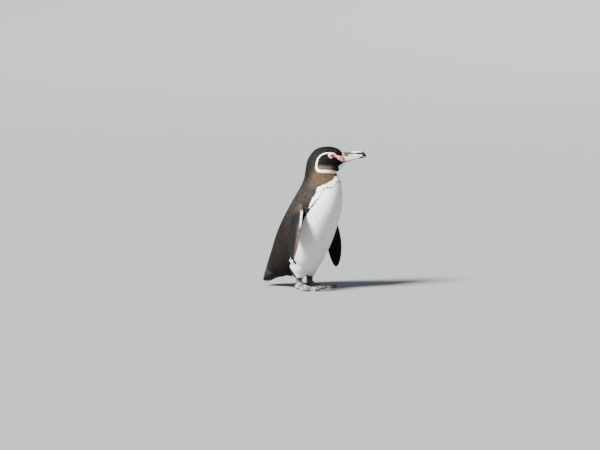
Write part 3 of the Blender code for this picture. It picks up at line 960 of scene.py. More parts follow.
def placed(tree, shared, **values):
    """A shared group in a material, with its own values."""
    made = node(tree, "ShaderNodeGroup")
    made.node_tree = shared
    for name, value in values.items():
        made.inputs[name].default_value = value
    return made


def feather_look():
    """The coat's soft feathers, in the plumage's markings, with pale fringes and dark shafts."""
    made, tree, shader = finish("body_feathers", {"Specular IOR Level": 0.08})
    vane = placed(tree, VANE, Barbs=SOFT_BARBS)
    plumage = placed(tree, PLUMAGE)
    for name in ("Fringe", "Shaft"):
        tree.links.new(vane.outputs[name], plumage.inputs[name])
    cover(tree, shader, plumage.outputs["Colour"], plumage.outputs["Gloss"])
    raised(tree, shader, vane.outputs["Height"], 0.35, 0.00012)
    return made


def flipper_look():
    """Blue-black scale feathers, with pale ones along the leading edge, a painted warm highlight where sun
    lights the outer face, and painted shade on the inner face.
    """
    made, tree, shader = finish("flipper_feathers", {"Specular IOR Level": 0.10})
    pale, inner, sunlit_highlight, shade = painted(tree, "markings")
    vane = placed(tree, VANE, Barbs=SOFT_BARBS).outputs
    # Painted shade: the inner face is made darker still.
    colour = blend(tree, inner, tone(tree, shade, "blade"), tone(tree, shade, "inner_blade"))
    fringe = times(tree, vane["Fringe"], ramp(tree, shade, 0.3, 1.0, 0.05, 0.5))
    colour = blend(tree, fringe, colour, "blade_fringe")
    # Painted highlight: warm sunlit colour laid on the outer face.
    colour = blend(tree, sunlit_highlight, colour, tone(tree, shade, "warm_blade"))
    colour = blend(tree, pale, colour, tone(tree, shade, "pale_edge"))
    cover(tree, shader, colour, ramp(tree, speckle(tree, 120.0), 0.3, 0.7, 0.50, 0.66))
    raised(tree, shader, vane["Height"], 0.3, 0.00008)
    return made


def tail_look():
    """Stiff dark brown vanes with a darker shaft and paler worn edges."""
    made, tree, shader = finish("tail_vanes", {"Specular IOR Level": 0.15})
    shade = painted(tree, "markings")[3]
    vane = placed(tree, VANE, Barbs=STIFF_BARBS).outputs
    streak = ramp(tree, speckle(tree, 260.0, 3.0, (1, 1, 0.25)), 0.45, 0.72, 0.0, 0.6)
    colour = blend(tree, streak, tone(tree, shade, "tail"), "tail_streak")
    colour = blend(tree, times(tree, vane["Fringe"], 0.6), colour, "tail_fringe")
    colour = blend(tree, times(tree, vane["Shaft"], 0.6), colour, "tail_shaft")
    cover(tree, shader, colour, ramp(tree, speckle(tree, 90.0), 0.3, 0.7, 0.50, 0.66))
    raised(tree, shader, vane["Height"], 0.5, 0.0002)
    return made


def face_colour(tree, fine, lid):
    """Bare pink skin with chalky patches and dark freckles, going grey on the lids."""
    pink = tone(tree, ramp(tree, fine, 0.35, 0.7), "bare_pink")
    chalky = ramp(tree, speckle(tree, 210.0, 3.0), 0.49, 0.60)
    pink = blend(tree, times(tree, chalky, 0.6), pink, "chalk")
    freckle = ramp(tree, speckle(tree, 330.0, 2.0), 0.63, 0.69)
    pink = blend(tree, times(tree, freckle, 0.75), pink, "freckle")
    return blend(tree, lid, pink, "grey_lid")


def foot_colour(tree, scales, shank):
    """Grey leather with pale blotches, dark between its scales and darker up the shank."""
    mottle = ramp(tree, speckle(tree, 150.0, 4.0), 0.44, 0.58)
    blotch = ramp(tree, speckle(tree, 90.0, 2.0, (1, 1, 2)), 0.56, 0.68)
    leather = blend(tree, blotch, tone(tree, mottle, "leather"), "blotch")
    leather = blend(tree, ramp(tree, scales, 0.0, 1.0, 0.45, 1.0), "scale_gap", leather)
    return blend(tree, shank, leather, tone(tree, mottle, "shank"))


def skin_look():
    """Skin: the plumage's markings under the feathers, pink on the bare face, grey mottled on the feet."""
    settings = {"Subsurface Weight": 0.08, "Subsurface Radius": (0.0012, 0.0006, 0.0004)}
    made, tree, shader = finish("skin", settings)
    plumage = placed(tree, PLUMAGE)
    face, foot, shank, lid = painted(tree, "bare")
    fine = speckle(tree, 900.0, 3.0)
    scales = ramp(tree, cells(tree, 850.0), 0.01, 0.10)
    colour = blend(tree, 0.3, plumage.outputs["Colour"], "under_coat")
    colour = blend(tree, face, colour, face_colour(tree, fine, lid))
    colour = blend(tree, foot, colour, foot_colour(tree, scales, shank))
    cover(tree, shader, colour, ramp(tree, fine, 0.3, 0.7, 0.42, 0.6))
    raised(tree, shader, times_plus(tree, fine, 0.35, times(tree, scales, foot)), 0.55, 0.00025)
    return made


def horn_chart(tree):
    """What horn is drawn from: places along it and off its ridge, both also wavering, and its grain."""
    along, off = charted(tree)[1:]
    waver = maths(tree, "SUBTRACT", speckle(tree, 1.0, 8.0, (16, 9, 1), "Vane"), 0.5)
    return SimpleNamespace(
        along=along,
        off=off,
        reach=times_plus(tree, waver, 0.14, along),
        level=times_plus(tree, waver, 0.16, off),
        grain=speckle(tree, 1.0, 8.0, (52, 4.0, 1), "Vane"),
        fine=speckle(tree, 1300.0, 3.0),
    )


def grained(tree, horn, name, low, high):
    """A colour of horn that goes from dark to light between two limits of its grain."""
    return tone(tree, ramp(tree, horn.grain, low, high), name)


def upper_colour(tree, horn):
    """A slate root plate with a beige ridge, a groove, then dusky flanks, a cream ridge and a black hook;
    the beige and cream along the ridge are a painted sunlit highlight on the dark horn.
    """
    plate_edge = 0.345
    slanting = times_plus(tree, horn.off, -0.15, horn.along)
    beige = grained(tree, horn, "ridge_highlight_horn", 0.38, 0.62)
    cream = grained(tree, horn, "cream_horn", 0.3, 0.7)
    black = grained(tree, horn, "black_horn", 0.3, 0.7)
    # Painted highlight: sunlit beige along the root plate's ridge.
    ridge_highlight = times(tree, fall(tree, horn.level, 0.12, 0.20), ramp(tree, horn.reach, 0.03, 0.12))
    colour = blend(tree, ridge_highlight, grained(tree, horn, "slate_horn", 0.40, 0.62), beige)
    dusk = tone(tree, ramp(tree, horn.fine, 0.35, 0.65), "dusky_horn")
    # Painted highlight: cream along the ridge beyond the groove, where sun lights the top.
    flank = blend(tree, ramp(tree, horn.level, 0.17, 0.26), cream, dusk)
    streak = times(tree, ramp(tree, horn.reach, 0.56, 0.62), ramp(tree, horn.level, 0.17, 0.22))
    flank = blend(tree, streak, flank, black)
    colour = blend(tree, ramp(tree, slanting, plate_edge, plate_edge + 0.03), colour, flank)
    lip = times(tree, ramp(tree, horn.level, 0.38, 0.43), ramp(tree, horn.along, 0.20, 0.36))
    colour = blend(tree, lip, colour, cream)
    cross = maths(tree, "ABSOLUTE", maths(tree, "SUBTRACT", slanting, plate_edge))
    groove = times(tree, fall(tree, cross, 0.014, 0.034), fall(tree, horn.off, 0.40, 0.44))
    colour = blend(tree, groove, colour, black)
    hook = ramp(tree, times_plus(tree, horn.off, -0.10, horn.reach), 0.76, 0.81)
    colour = blend(tree, hook, colour, black)
    root = times(tree, fall(tree, horn.along, 0.03, 0.16), ramp(tree, horn.off, 0.36, 0.44))
    return blend(tree, root, colour, grained(tree, horn, "flushed_horn", 0.35, 0.65))


def lower_colour(tree, horn):
    """White horn, pink at its root and along its keel, with a black tip that slants back at the edges."""
    keel = times(tree, fall(tree, horn.level, 0.16, 0.27), fall(tree, horn.reach, 0.44, 0.60))
    blush = maths(tree, "MAXIMUM", keel, fall(tree, horn.reach, 0.05, 0.17))
    white = grained(tree, horn, "white_horn", 0.28, 0.6)
    colour = blend(tree, blush, white, grained(tree, horn, "pink_horn", 0.3, 0.7))
    tip = ramp(tree, times_plus(tree, horn.off, -0.36, horn.reach), 0.60, 0.64)
    return blend(tree, tip, colour, grained(tree, horn, "black_horn", 0.3, 0.7))


def claw_colour(tree, horn):
    """Slate horn that blackens towards the claw's point."""
    slate = grained(tree, horn, "slate_horn", 0.40, 0.62)
    return blend(tree, ramp(tree, horn.along, 0.3, 0.95), slate, grained(tree, horn, "black_horn", 0.3, 0.7))


def horn_look(name, colours, bump):
    """Horn drawn from the piece's own chart: Vane runs 0 to 1 round and along it."""
    made, tree, shader = finish(name, {"Coat Weight": 0.12})
    horn = horn_chart(tree)
    cover(tree, shader, colours(tree, horn), ramp(tree, horn.grain, 0.3, 0.7, 0.30, 0.50))
    raised(tree, shader, times_plus(tree, horn.fine, 0.4, horn.grain), bump, 0.00018)
    return made


def eye_look():
    """A wet eyeball: pupil, streaked dark red iris and dark rim by the angle from the gaze."""
    made, tree, shader = finish("eye", {})
    turn, off_gaze = charted(tree)[:2]
    streaks = maths(tree, "SINE", times(tree, turn, FULL_TURN * 46))
    patch = speckle(tree, 700.0, 3.0)
    share = times_plus(tree, streaks, 0.12, patch)
    iris = tone(tree, ramp(tree, share, 0.35, 0.7), "iris")
    colour = blend(tree, fall(tree, off_gaze, 0.085, 0.097), iris, "pupil")
    colour = blend(tree, ramp(tree, off_gaze, 0.245, 0.29), colour, "eye_rim")
    cover(tree, shader, colour, ramp(tree, patch, 0.3, 0.7, 0.04, 0.09))
    return made


FEATHERS = feather_look()
FLIPPER_FEATHERS = flipper_look()
TAIL_VANES = tail_look()
SKIN = skin_look()
UPPER_HORN = horn_look("upper_horn", upper_colour, 0.5)
LOWER_HORN = horn_look("lower_horn", lower_colour, 0.35)
CLAW_HORN = horn_look("claw_horn", claw_colour, 0.4)
EYE_WET = eye_look()


# ---------------------------------------------------------------- eyes and lids

GAZE = unit(np.array([0.20, 1.0, 0.06]))  # the left eye's, before the head is turned
SKIN_AT_EYE = 3.45
OPENING = (4.6, 3.15)  # half the eye's opening ahead and upwards
OPENING_TILT = math.radians(9)
LID_WIDTH = 2.5
LID_TURNS = 132
LID_SIDES = 24


def opening(turn):
    """The lids' inner edge: an oval drawn out at its corners and tilted up ahead."""
    a = turn - OPENING_TILT
    oval = 1 / np.sqrt((np.cos(a) / OPENING[0]) ** 2 + (np.sin(a) / OPENING[1]) ** 2)
    return oval * (1 + 0.05 * np.cos(2 * a) ** 2 * np.sign(np.cos(2 * a)))


def eye_basis(side):
    """The eye's middle, its gaze, and the upward and forward directions square to the gaze, unturned."""
    mirror = np.array([1.0, side_sign(side), 1.0])
    gaze = GAZE * mirror
    up = unit(np.array([0.0, 0.0, 1.0]) - gaze * gaze[2])
    ahead = unit(np.array([1.0, 0.0, 0.0]) - gaze * gaze[0] - up * up[0])
    return np.array(EYE_CENTRE) * mirror, gaze, up, ahead


def from_eye(side, points):
    """Distance of unturned points from the gaze line, their height along it, and their turn about it."""
    centre, gaze, up, ahead = eye_basis(side)
    off = points - centre
    height = off @ gaze
    flat_off = off - height[..., None] * gaze
    return np.linalg.norm(flat_off, axis=-1), height, np.arctan2(off @ up, off @ ahead)


def eyeball(side):
    """A sphere round the gaze with a low dome over the pupil: radius + 0.35 * exp(-(angle / 0.5)^2)."""
    centre, gaze, up, ahead = eye_basis(side)
    off, turn = net(np.linspace(0.02, math.pi - 0.02, 40), circle(64))
    radius = (EYE_RADIUS - 0.15 + 0.35 * bell(off / 0.5))[..., None]
    across = np.cos(turn)[..., None] * ahead + np.sin(turn)[..., None] * up
    rings = centre + radius * (np.cos(off)[..., None] * gaze + np.sin(off)[..., None] * across)
    points, faces = closed_loft(swing(rings, HEAD_TURN))
    mesh = mesh_from("eyeball_" + side, points, faces)
    chart(mesh, "Vane", grid_values(np.stack([turn / FULL_TURN, off / math.pi], axis=-1)))
    put("eyeball_" + side, mesh, EYE_WET, "eye", ["eye_" + side])


def lid_skin(side):
    """A fleshy ring that drapes on the eyeball: a flattened tube outside the opening, wrinkled.

    Its middle runs 1.0 outside the opening at the ball's own height there, and the tube leans with
    the ball's slope: height - slope * across + 0.5 sin(tube). It is bare, and grey along the lower lid.
    """
    centre, gaze, up, ahead = eye_basis(side)
    turn, tube = net(circle(LID_TURNS), circle(LID_SIDES))
    middle = opening(turn) + 1.0
    rise = np.sqrt((EYE_RADIUS - 0.05) ** 2 - middle**2)
    slope = np.minimum(middle / rise, 1.35) * 0.88
    folds = 1 + 0.10 * np.sin(2 * tube + 0.8) + 0.05 * np.sin(37 * turn + 2 * np.sin(3 * turn))
    outer = LID_WIDTH - 1.0 + 0.2 * np.sin(turn)
    across = np.where(np.cos(tube) > 0, outer, 1.0) * np.cos(tube) * folds
    height = rise - slope * across + 0.5 * np.sin(tube) * folds
    radial = np.cos(turn)[..., None] * ahead + np.sin(turn)[..., None] * up
    rings = centre + (middle + across)[..., None] * radial + height[..., None] * gaze
    points = swing(rings, HEAD_TURN).reshape(-1, 3)

    grid = np.arange(LID_TURNS * LID_SIDES).reshape(LID_TURNS, LID_SIDES)
    beside, after = np.roll(grid, -1, axis=1), np.roll(grid, -1, axis=0)
    both = np.roll(after, -1, axis=1)
    faces = outward(points, [np.stack([grid, beside, both, after], axis=-1).reshape(-1, 4)])
    bare = np.zeros((len(points), 4))
    bare[:, 0] = 1.0
    bare[:, 3] = smooth((-0.15 - np.sin(turn - 0.35)) / 0.5).ravel() * 0.9
    return points, faces, np.zeros_like(bare), bare


# ---------------------------------------------------------------- skin

# How deep the feathers' roots lie, from the tail forward to the bill.
COAT_DEPTH = ((STUMP, 3.0), (-1.0, 3.0), (0.2, 2.3), (6.0, 2.3), (8.5, 1.4), (12.0, 1.1), (FACE_END, 0.7))
COAT_FLIPPER = 0.6
COAT_LEG = 1.2
BLADE_END = 6.93  # the flipper's flesh ends here, just short of its last station
PAINTS = ("markings", "bare")


def coat_depth(place):
    return by_table(COAT_DEPTH, place)


def skin_body():
    """The body sunk by the coat's depth, swelling round each eye and wrinkled on the bare face."""
    places = np.concatenate([np.linspace(STUMP, 8.0, 150, endpoint=False), np.linspace(8.0, FACE_END, 150)])
    t, a = net(places, circle(180))
    flat = flat_body(t, a, coat_depth(t))
    surface = flat_body(t, a)
    bare = np.zeros(t.shape + (4,))
    for side in SIDES:
        gap, height, bearing = from_eye(side, flat)
        gaze = eye_basis(side)[1]
        beyond = gap - opening(bearing)
        near = smooth((8.0 - beyond) / 5.0) * (height > 0)
        fold = 0.55 * bell((beyond - 3.4) / 0.7) * (height > 0)
        lift = near * np.maximum(SKIN_AT_EYE - height, -1.4) + fold
        flat = flat + lift[..., None] * gaze
        bare[..., 0] = np.maximum(bare[..., 0], smooth((5.6 - beyond) / 1.2) * (height > 0))
    strip = in_outline(surface[..., 0], surface[..., 2], BARE_FACE) & (t > BARE_START)
    bare[..., 0] = np.maximum(bare[..., 0], strip * 1.0)
    crease = 0.12 * np.sin(2.2 * flat[..., 2] + 0.9 * flat[..., 0]) + 0.10 * wander(flat, 2.6, 2.0)
    flat[..., 1] += np.sign(flat[..., 1]) * strip * crease
    points, faces = closed_loft(swing(flat, head_turn_at(t)))
    return points, faces, on_skin(body_markings(t, a)), grid_values(bare)


def toe_reach(angle, toe):
    """How far a round-ended toe reaches from the ankle along a direction."""
    direction, length, half = toe
    off = np.abs(angle - math.radians(direction))
    sideways = np.maximum(np.sin(np.minimum(off, math.pi / 2)), 1e-6)
    straight = length - half
    inside = np.maximum(half**2 - (straight * sideways) ** 2, 0)
    flank = half / sideways
    return np.where(flank * np.cos(off) > straight, straight * np.cos(off) + np.sqrt(inside), flank)


def foot_outline(angle):
    """The sole's edge: toes, the scalloped webs between them, and the heel."""
    toes = list(TOES.values())
    reach = np.max([toe_reach(angle, toe) for toe in toes], axis=0)
    for toe, neighbour in zip(toes, toes[1:]):
        share = (np.degrees(angle) - toe[0]) / (neighbour[0] - toe[0])
        edge = WEB_REACH * (toe[1] + share * (neighbour[1] - toe[1]))
        scallop = edge * (1 - 0.07 * np.sin(math.pi * np.clip(share, 0, 1)))
        reach = np.where((share > 0) & (share < 1), np.maximum(reach, scallop), reach)
    return np.maximum(reach, HEEL)


def foot_height(x, y):
    """Toe ridges crossed by scutes, a thin creased web and the mound of the ankle."""
    top = np.full_like(x, WEB_THICKNESS)
    top = top + 0.18 * np.sin(1.9 * np.hypot(x, y) + 1.5 * np.sin(7 * np.arctan2(y, x)))
    for direction, length, half in TOES.values():
        turned = math.radians(direction)
        along = x * math.cos(turned) + y * math.sin(turned)
        beside = y * math.cos(turned) - x * math.sin(turned)
        ridge = TOE_HEIGHT * bell(beside / half) * smooth(along / 18)
        knuckle = 1 + 0.10 * np.cos(FULL_TURN * along / (length * 0.36))
        scutes = 0.42 * np.abs(np.sin(math.pi * along / 2.6)) ** 0.6 * bell(beside / (0.8 * half))
        toe = ridge * (1 - 0.35 * smooth(along / length)) * knuckle + scutes * smooth(along / 10)
        top = np.maximum(top, WEB_THICKNESS + toe)
    return top + 11.0 * bell(np.hypot(x, y) / 13)


def on_foot(points, side):
    """From the foot's own frame, middle toe along +X, to the bird's."""
    turned = math.radians(TOE_OUT[side])
    x, y = points[..., 0], points[..., 1]
    ahead = x * math.cos(turned) - y * math.sin(turned)
    aside = x * math.sin(turned) + y * math.cos(turned)
    ankle_x, ankle_y = ANKLE[side]
    return np.stack([ankle_x + ahead, ankle_y + side_sign(side) * aside, points[..., 2]], axis=-1)


def foot_skin(side):
    """The webbed foot on its flat sole and the scaly shank that runs up into the cuff."""
    turn = np.radians(np.concatenate([np.arange(-40, 40, 0.8), np.linspace(42, 318, 60)]))
    reach = foot_outline((turn + math.pi) % FULL_TURN - math.pi)
    plan = np.column_stack([np.cos(turn), np.sin(turn)])
    shank = TARSUS[0] * TARSUS[1] / np.hypot(TARSUS[1] * plan[:, 0], TARSUS[0] * plan[:, 1])
    rings = []
    for share, height in ((0.96, 0.0), (0.985, 0.45), (1.0, 1.3)):
        rings.append(np.column_stack([plan * (reach * share)[:, None], np.full(len(turn), height)]))
    for share in np.concatenate([[0.985], np.linspace(0.965, 0.10, 44)]):
        flat = plan * (shank + (reach - shank) * share)[:, None]
        rings.append(np.column_stack([flat, foot_height(flat[:, 0], flat[:, 1])]))
    for height in np.linspace(16.5, 38.0, 22):
        scales = 0.22 * np.sin(1.9 * height) * np.sin(9 * turn + 1.6 * height)
        flat = plan * (shank + scales - 0.3 * smooth((height - 24) / 6))[:, None]
        rings.append(np.column_stack([flat, np.full(len(turn), height)]))
    rings = np.stack([on_foot(ring, side) for ring in rings])
    points, faces = closed_loft(rings)
    bare = np.zeros(rings.shape[:2] + (4,))
    bare[..., 1] = 1.0
    bare[..., 2] = smooth((rings[..., 2] - 13.0) / 9.0)
    bare = grid_values(bare)
    return points, faces, np.zeros_like(bare), bare


def blade_skin(side):
    """The flipper sunk by its own short coat."""
    t, a = net(np.linspace(0.0, BLADE_END, 70), circle(44))
    points, faces = closed_loft(flipper_at(side, t, a, COAT_FLIPPER))
    marks = on_skin(flipper_markings(t, a))
    return points, faces, marks, np.zeros_like(marks)


def cuff_skin(side):
    """The leg's cuff sunk by its coat."""
    t, a = net(np.linspace(0, 3.0, 26), circle(60))
    points, faces = closed_loft(leg_at(side, t, a, COAT_LEG))
    marks = on_skin(leg_markings(t, a))
    return points, faces, marks, np.zeros_like(marks)


def mend_seams(mesh):
    """Points made where solids cross carry no paint, so each takes the mean of its neighbours'."""
    count = len(mesh.vertices)
    ends = np.empty(2 * len(mesh.edges), np.int32)
    mesh.edges.foreach_get("vertices", ends)
    ends = ends.reshape(-1, 2)
    here, there = np.concatenate([ends, ends[:, ::-1]]).T
    values = np.empty((len(PAINTS), 4 * count), np.float32)
    for row, name in zip(values, PAINTS):
        mesh.attributes[name].data.foreach_get("color", row)
    values = np.hstack([row.reshape(-1, 4) for row in values])
    lost = (values > 0.999).all(axis=1)
    for _ in range(8):
        use = lost[here] & ~lost[there]
        total = np.zeros(values.shape)
        weight = np.zeros(count)
        np.add.at(total, here[use], values[there[use]])
        np.add.at(weight, here[use], 1)
        filled = weight > 0
        values[filled] = total[filled] / weight[filled, None]
        lost &= ~filled
    for part, name in zip(np.hsplit(values, len(PAINTS)), PAINTS):
        mesh.attributes[name].data.foreach_set("color", part.ravel())


def skin_parts():
    """The closed shapes that the skin is joined from: a name, then points, faces, markings, bareness."""
    yield ("body", *skin_body())
    for side in SIDES:
        yield ("blade_" + side, *blade_skin(side))
        yield ("cuff_" + side, *cuff_skin(side))
        yield ("foot_" + side, *foot_skin(side))
        yield ("lid_" + side, *lid_skin(side))


def joined_skin():
    """One closed skin: body, flippers, cuffs, feet and lids united, with the coat's own markings on it."""
    made = []
    for name, points, faces, marks, bare in skin_parts():
        mesh = mesh_from("skin_" + name, points, faces)
        paint(mesh, "markings", marks)
        paint(mesh, "bare", bare)
        made.append(add("skin_" + name, mesh))
    body = made[0]
    for other in made[1:]:
        join = body.modifiers.new(other.name, "BOOLEAN")
        join.operation = "UNION"
        join.solver = "MANIFOLD"
        join.object = other
    ready = body.evaluated_get(bpy.context.evaluated_depsgraph_get())
    mesh = bpy.data.meshes.new_from_object(ready)
    mesh.name = "skin"
    mend_seams(mesh)
    for piece in made:
        bpy.data.objects.remove(piece)
    mesh.materials.clear()
    mesh.shade_smooth()
    nodes = ["head", "neck", "trunk", "tail"]
    nodes += [f"{limb}_{side}" for limb in ("flipper", "leg", "foot") for side in SIDES]
    put("skin", mesh, SKIN, "bare_skin", nodes)


# ---------------------------------------------------------------- bill and claws

BILL_FLOOR = np.linspace(-0.8, 0.8, 9)  # across the flat biting side
CLAW_SHARE, CLAW_TURN = net(np.linspace(0, 1, 26), circle(28))


def upper_relief(share, height, turn, ripple):
    """A culmen keel and a worn lip, less the nostril's slit, its furrow and a slanting cross groove."""
    cross = 0.60 * bell((share - 0.42 + 0.075 * height) / 0.014) * smooth(height / 0.3)
    furrow = 0.45 * bell((height - 0.70 + 0.35 * share) / 0.07) * smooth(share / 0.1)
    furrow = furrow * (1 - smooth((share - 0.62) / 0.2))
    slit = 1.1 * bell((share - 0.24) / 0.055, (height - 0.60) / 0.10)
    keel = 0.40 * bell(np.cos(turn) / 0.25) * smooth(share / 0.2)
    lip = 0.35 * bell(height / 0.2) * smooth((share - 0.06) / 0.1)
    return keel + lip + 0.10 * ripple - furrow - slit - cross


def lower_relief(share, height, turn, ripple):
    """The two furrows between the lower bill's plates."""
    furrow = 0.40 * bell((height - 0.42 - 0.3 * share) / 0.08) * (1 - smooth((share - 0.6) / 0.2))
    plate = 0.35 * bell((share - 0.34 - 0.22 * height) / 0.014) * smooth(height / 0.3)
    return 0.08 * ripple - furrow - plate


def bill_half(half, rows, relief, look, slot):
    """Half an oval over a flat biting edge, lofted forward: edge + rise * sin(a)^0.9 + half width * cos(a).

    The relief stands out from it, less where the bill is slender, and the root is tucked in by 12
    percent under the face's feathers.
    """
    stations = np.concatenate([np.linspace(0, 4.6, 92), np.linspace(4.65, len(rows) - 1, 40)])
    along, turn = net(stations, np.linspace(0, math.pi, 56))
    row = through(rows, along)
    above = np.stack([row[..., 0], 0 * along, row[..., 1]], axis=-1)
    below = np.stack([row[..., 2], 0 * along, row[..., 3]], axis=-1)
    ridge, edge = (above, below) if half == "upper" else (below, above)
    rise = ridge - edge
    depth = np.linalg.norm(rise, axis=-1)
    height = np.sin(turn) ** 0.9
    share = (row[..., 0] - rows[0][0]) / (rows[-1][0] - rows[0][0])
    ripple = np.sin(31 * share + 9 * height) * np.sin(53 * share + 2 * np.cos(turn))
    swell = relief(share, height, turn, ripple) * np.clip(row[..., 4] / 5, 0.05, 1)
    tuck = 1 - 0.12 * (1 - smooth(share / 0.07))
    wide = row[..., 4] * tuck
    up = rise / depth[..., None]
    wall = edge + up * (depth * height * tuck + swell * height)[..., None]
    wall[..., 1] += wide * np.cos(turn) + swell * np.cos(turn)
    floor = np.repeat(edge[:, :1], len(BILL_FLOOR), axis=1)
    floor[..., 1] += wide[:, :1] * BILL_FLOOR
    points, faces = closed_loft(swing(np.concatenate([wall, floor], axis=1), HEAD_TURN))
    mesh = mesh_from(half + "_bill_horn", points, faces)
    under = np.repeat((0.5 + 0.5 * BILL_FLOOR)[None], len(stations), axis=0)
    across = np.concatenate([turn / math.pi, under], axis=1)
    share = np.concatenate([share, np.repeat(share[:, :1], len(BILL_FLOOR), axis=1)], axis=1)
    chart(mesh, "Vane", grid_values(np.stack([across, share], axis=-1)))
    mesh.set_sharp_from_angle(angle=math.radians(50))
    put(mesh.name, mesh, look, slot, ["bill_" + half])


def claw_rings(start, length, radius, height, droop):
    """A hook along +X: rings of radius * (1 - 0.9 share^1.4), drooping by droop * share^2, keeled above."""
    size = radius * (1 - 0.9 * CLAW_SHARE**1.4)
    ridge = 1 + 0.10 * bell((CLAW_TURN - math.pi / 2) / 0.35) + 0.02 * np.sin(40 * CLAW_SHARE)
    x = start + length * CLAW_SHARE
    y = 0.8 * size * np.cos(CLAW_TURN)
    z = height - droop * CLAW_SHARE * CLAW_SHARE + size * np.sin(CLAW_TURN) * ridge
    return np.stack([x, y, z], axis=-1)


def claws(side):
    """A hook at each toe's end, and a smaller hind one above the sole."""
    hooks = {name: (toe[0], claw_rings(toe[1] - 1.6, 12.6, 2.35, 3.4, 2.4)) for name, toe in TOES.items()}
    hooks["hind"] = (-68, claw_rings(TARSUS[1] - 0.6, 9.1, 1.9, 14.5, 4.0))
    for name, (direction, rings) in hooks.items():
        turned = math.radians(direction)
        x = rings[..., 0] * math.cos(turned) - rings[..., 1] * math.sin(turned)
        y = rings[..., 0] * math.sin(turned) + rings[..., 1] * math.cos(turned)
        z = np.maximum(rings[..., 2], 0.02)
        points, faces = closed_loft(on_foot(np.stack([x, y, z], axis=-1), side))
        mesh = mesh_from(f"claw_horn_{side}_{name}", points, faces)
        chart(mesh, "Vane", grid_values(np.stack([CLAW_TURN / FULL_TURN, CLAW_SHARE], axis=-1)))
        put(mesh.name, mesh, CLAW_HORN, "claw", [f"claw_{side}_{name}"])


# ---------------------------------------------------------------- coat

# Millimetres between feather roots on the body, rib by rib: wide on the rump, close on the face.
BODY_SPACING = (
    (-3.0, 2.9), (0.0, 2.45), (1.2, 2.2), (3.0, 2.02), (6.0, 1.85), (7.5, 1.46), (8.6, 1.18),
    (10.0, 1.06), (12.0, 0.96), (FACE_END, 0.85),
)
BODY_LENGTH = (
    (-3.0, 14.0), (0.0, 12.5), (1.2, 10.8), (3.0, 9.6), (6.0, 8.4), (7.5, 6.6), (8.6, 5.0),
    (10.0, 4.3), (12.0, 3.5), (13.2, 2.6), (FACE_END, 2.1),
)
# The same along the flipper, station by station.
BLADE_SPACING = ((0, 2.5), (2, 2.1), (6, 1.9), (7, 1.7))
BLADE_LENGTH = ((0, 9.0), (1.2, 7.0), (2, 5.6), (6, 4.6), (7, 3.6))
CUFF_SPACING = 1.9
CUFF_LENGTH = ((0, 8.4), (3, 5.0))
RUMP_TOP = 1.2  # the ribs at which the coat's pieces meet
BELLY_TOP = 4.2
NECK_LOW = 6.6
HEAD_LOW = 8.3
BACK_EDGE = 96
SINKING = 3.0  # a limb's feather rooted deeper than this in the body is left out


def body_spacing(place, turn):
    return by_table(BODY_SPACING, place)


def blade_spacing(place, turn):
    """Closer by a fifth along the leading edge."""
    return by_table(BLADE_SPACING, place) * (1 - 0.2 * smooth(np.cos(turn)))


def cuff_spacing(place, turn):
    return np.full_like(place, CUFF_SPACING)


def tip_place(place, turn, length):
    """Where a feather's outer third lies, so that its markings follow what is seen of it."""
    step = 0.02
    rib = np.linalg.norm(body_at(place + step, turn) - body_at(place - step, turn), axis=-1) / (2 * step)
    return np.clip(place - 0.72 * length / rib, -3.5, FACE_END)


def body_coat():
    """The body's feathers, rooted over all of it but the bare face, eyes, bill, flippers and legs."""
    place, turn = roots(body_at, -0.7, FACE_END - 0.05, body_spacing, 3, 220, 160)
    length, width, yaw, sunk, shade = cut_feathers(
        by_table(BODY_LENGTH, place), (0.88, 1.12), (0.36, 0.46), 4.5, coat_depth(place), 0.1
    )
    width = width * (1 + 0.22 * bell((place - 7.6) / 0.7))  # wider where the turned throat draws them apart
    root = body_at(place, turn, sunk)
    tip = body_at(tip_place(place, turn, 1.3 * length), turn)
    flat = flat_body(place, turn, sunk)
    surface = flat_body(place, turn)
    keep = ~(in_outline(surface[:, 0], surface[:, 2], BARE_FACE) & (place > BARE_START))
    for side in SIDES:
        under_blade = partial(in_flipper, side, margin=0.8, start=19.0)
        keep &= ~(under_blade(root) & under_blade(tip))
        keep &= ~in_leg(side, root, -1.0)
        gap, height, bearing = from_eye(side, flat)
        beyond = gap - opening(bearing) - LID_WIDTH
        keep &= (beyond > 0.35) | (height < 0)
        before = (flat[:, 0] > EYE_CENTRE[0]) & (height > 0) & (gap < 15)
        length = np.where(before, np.minimum(length, np.maximum(beyond + 0.9, 1.5)), length)
    place, turn, length, width, yaw, sunk, shade = (
        values[keep] for values in (place, turn, length, width, yaw, sunk, shade)
    )
    laid = lay(
        body_at, place, turn, length, width, yaw, sunk,
        sense=-1, thick=0.11, camber=0.07, lie=1.7, hold=(-2.6, FACE_END),
    )
    return place, turn, shade**1.2, *laid


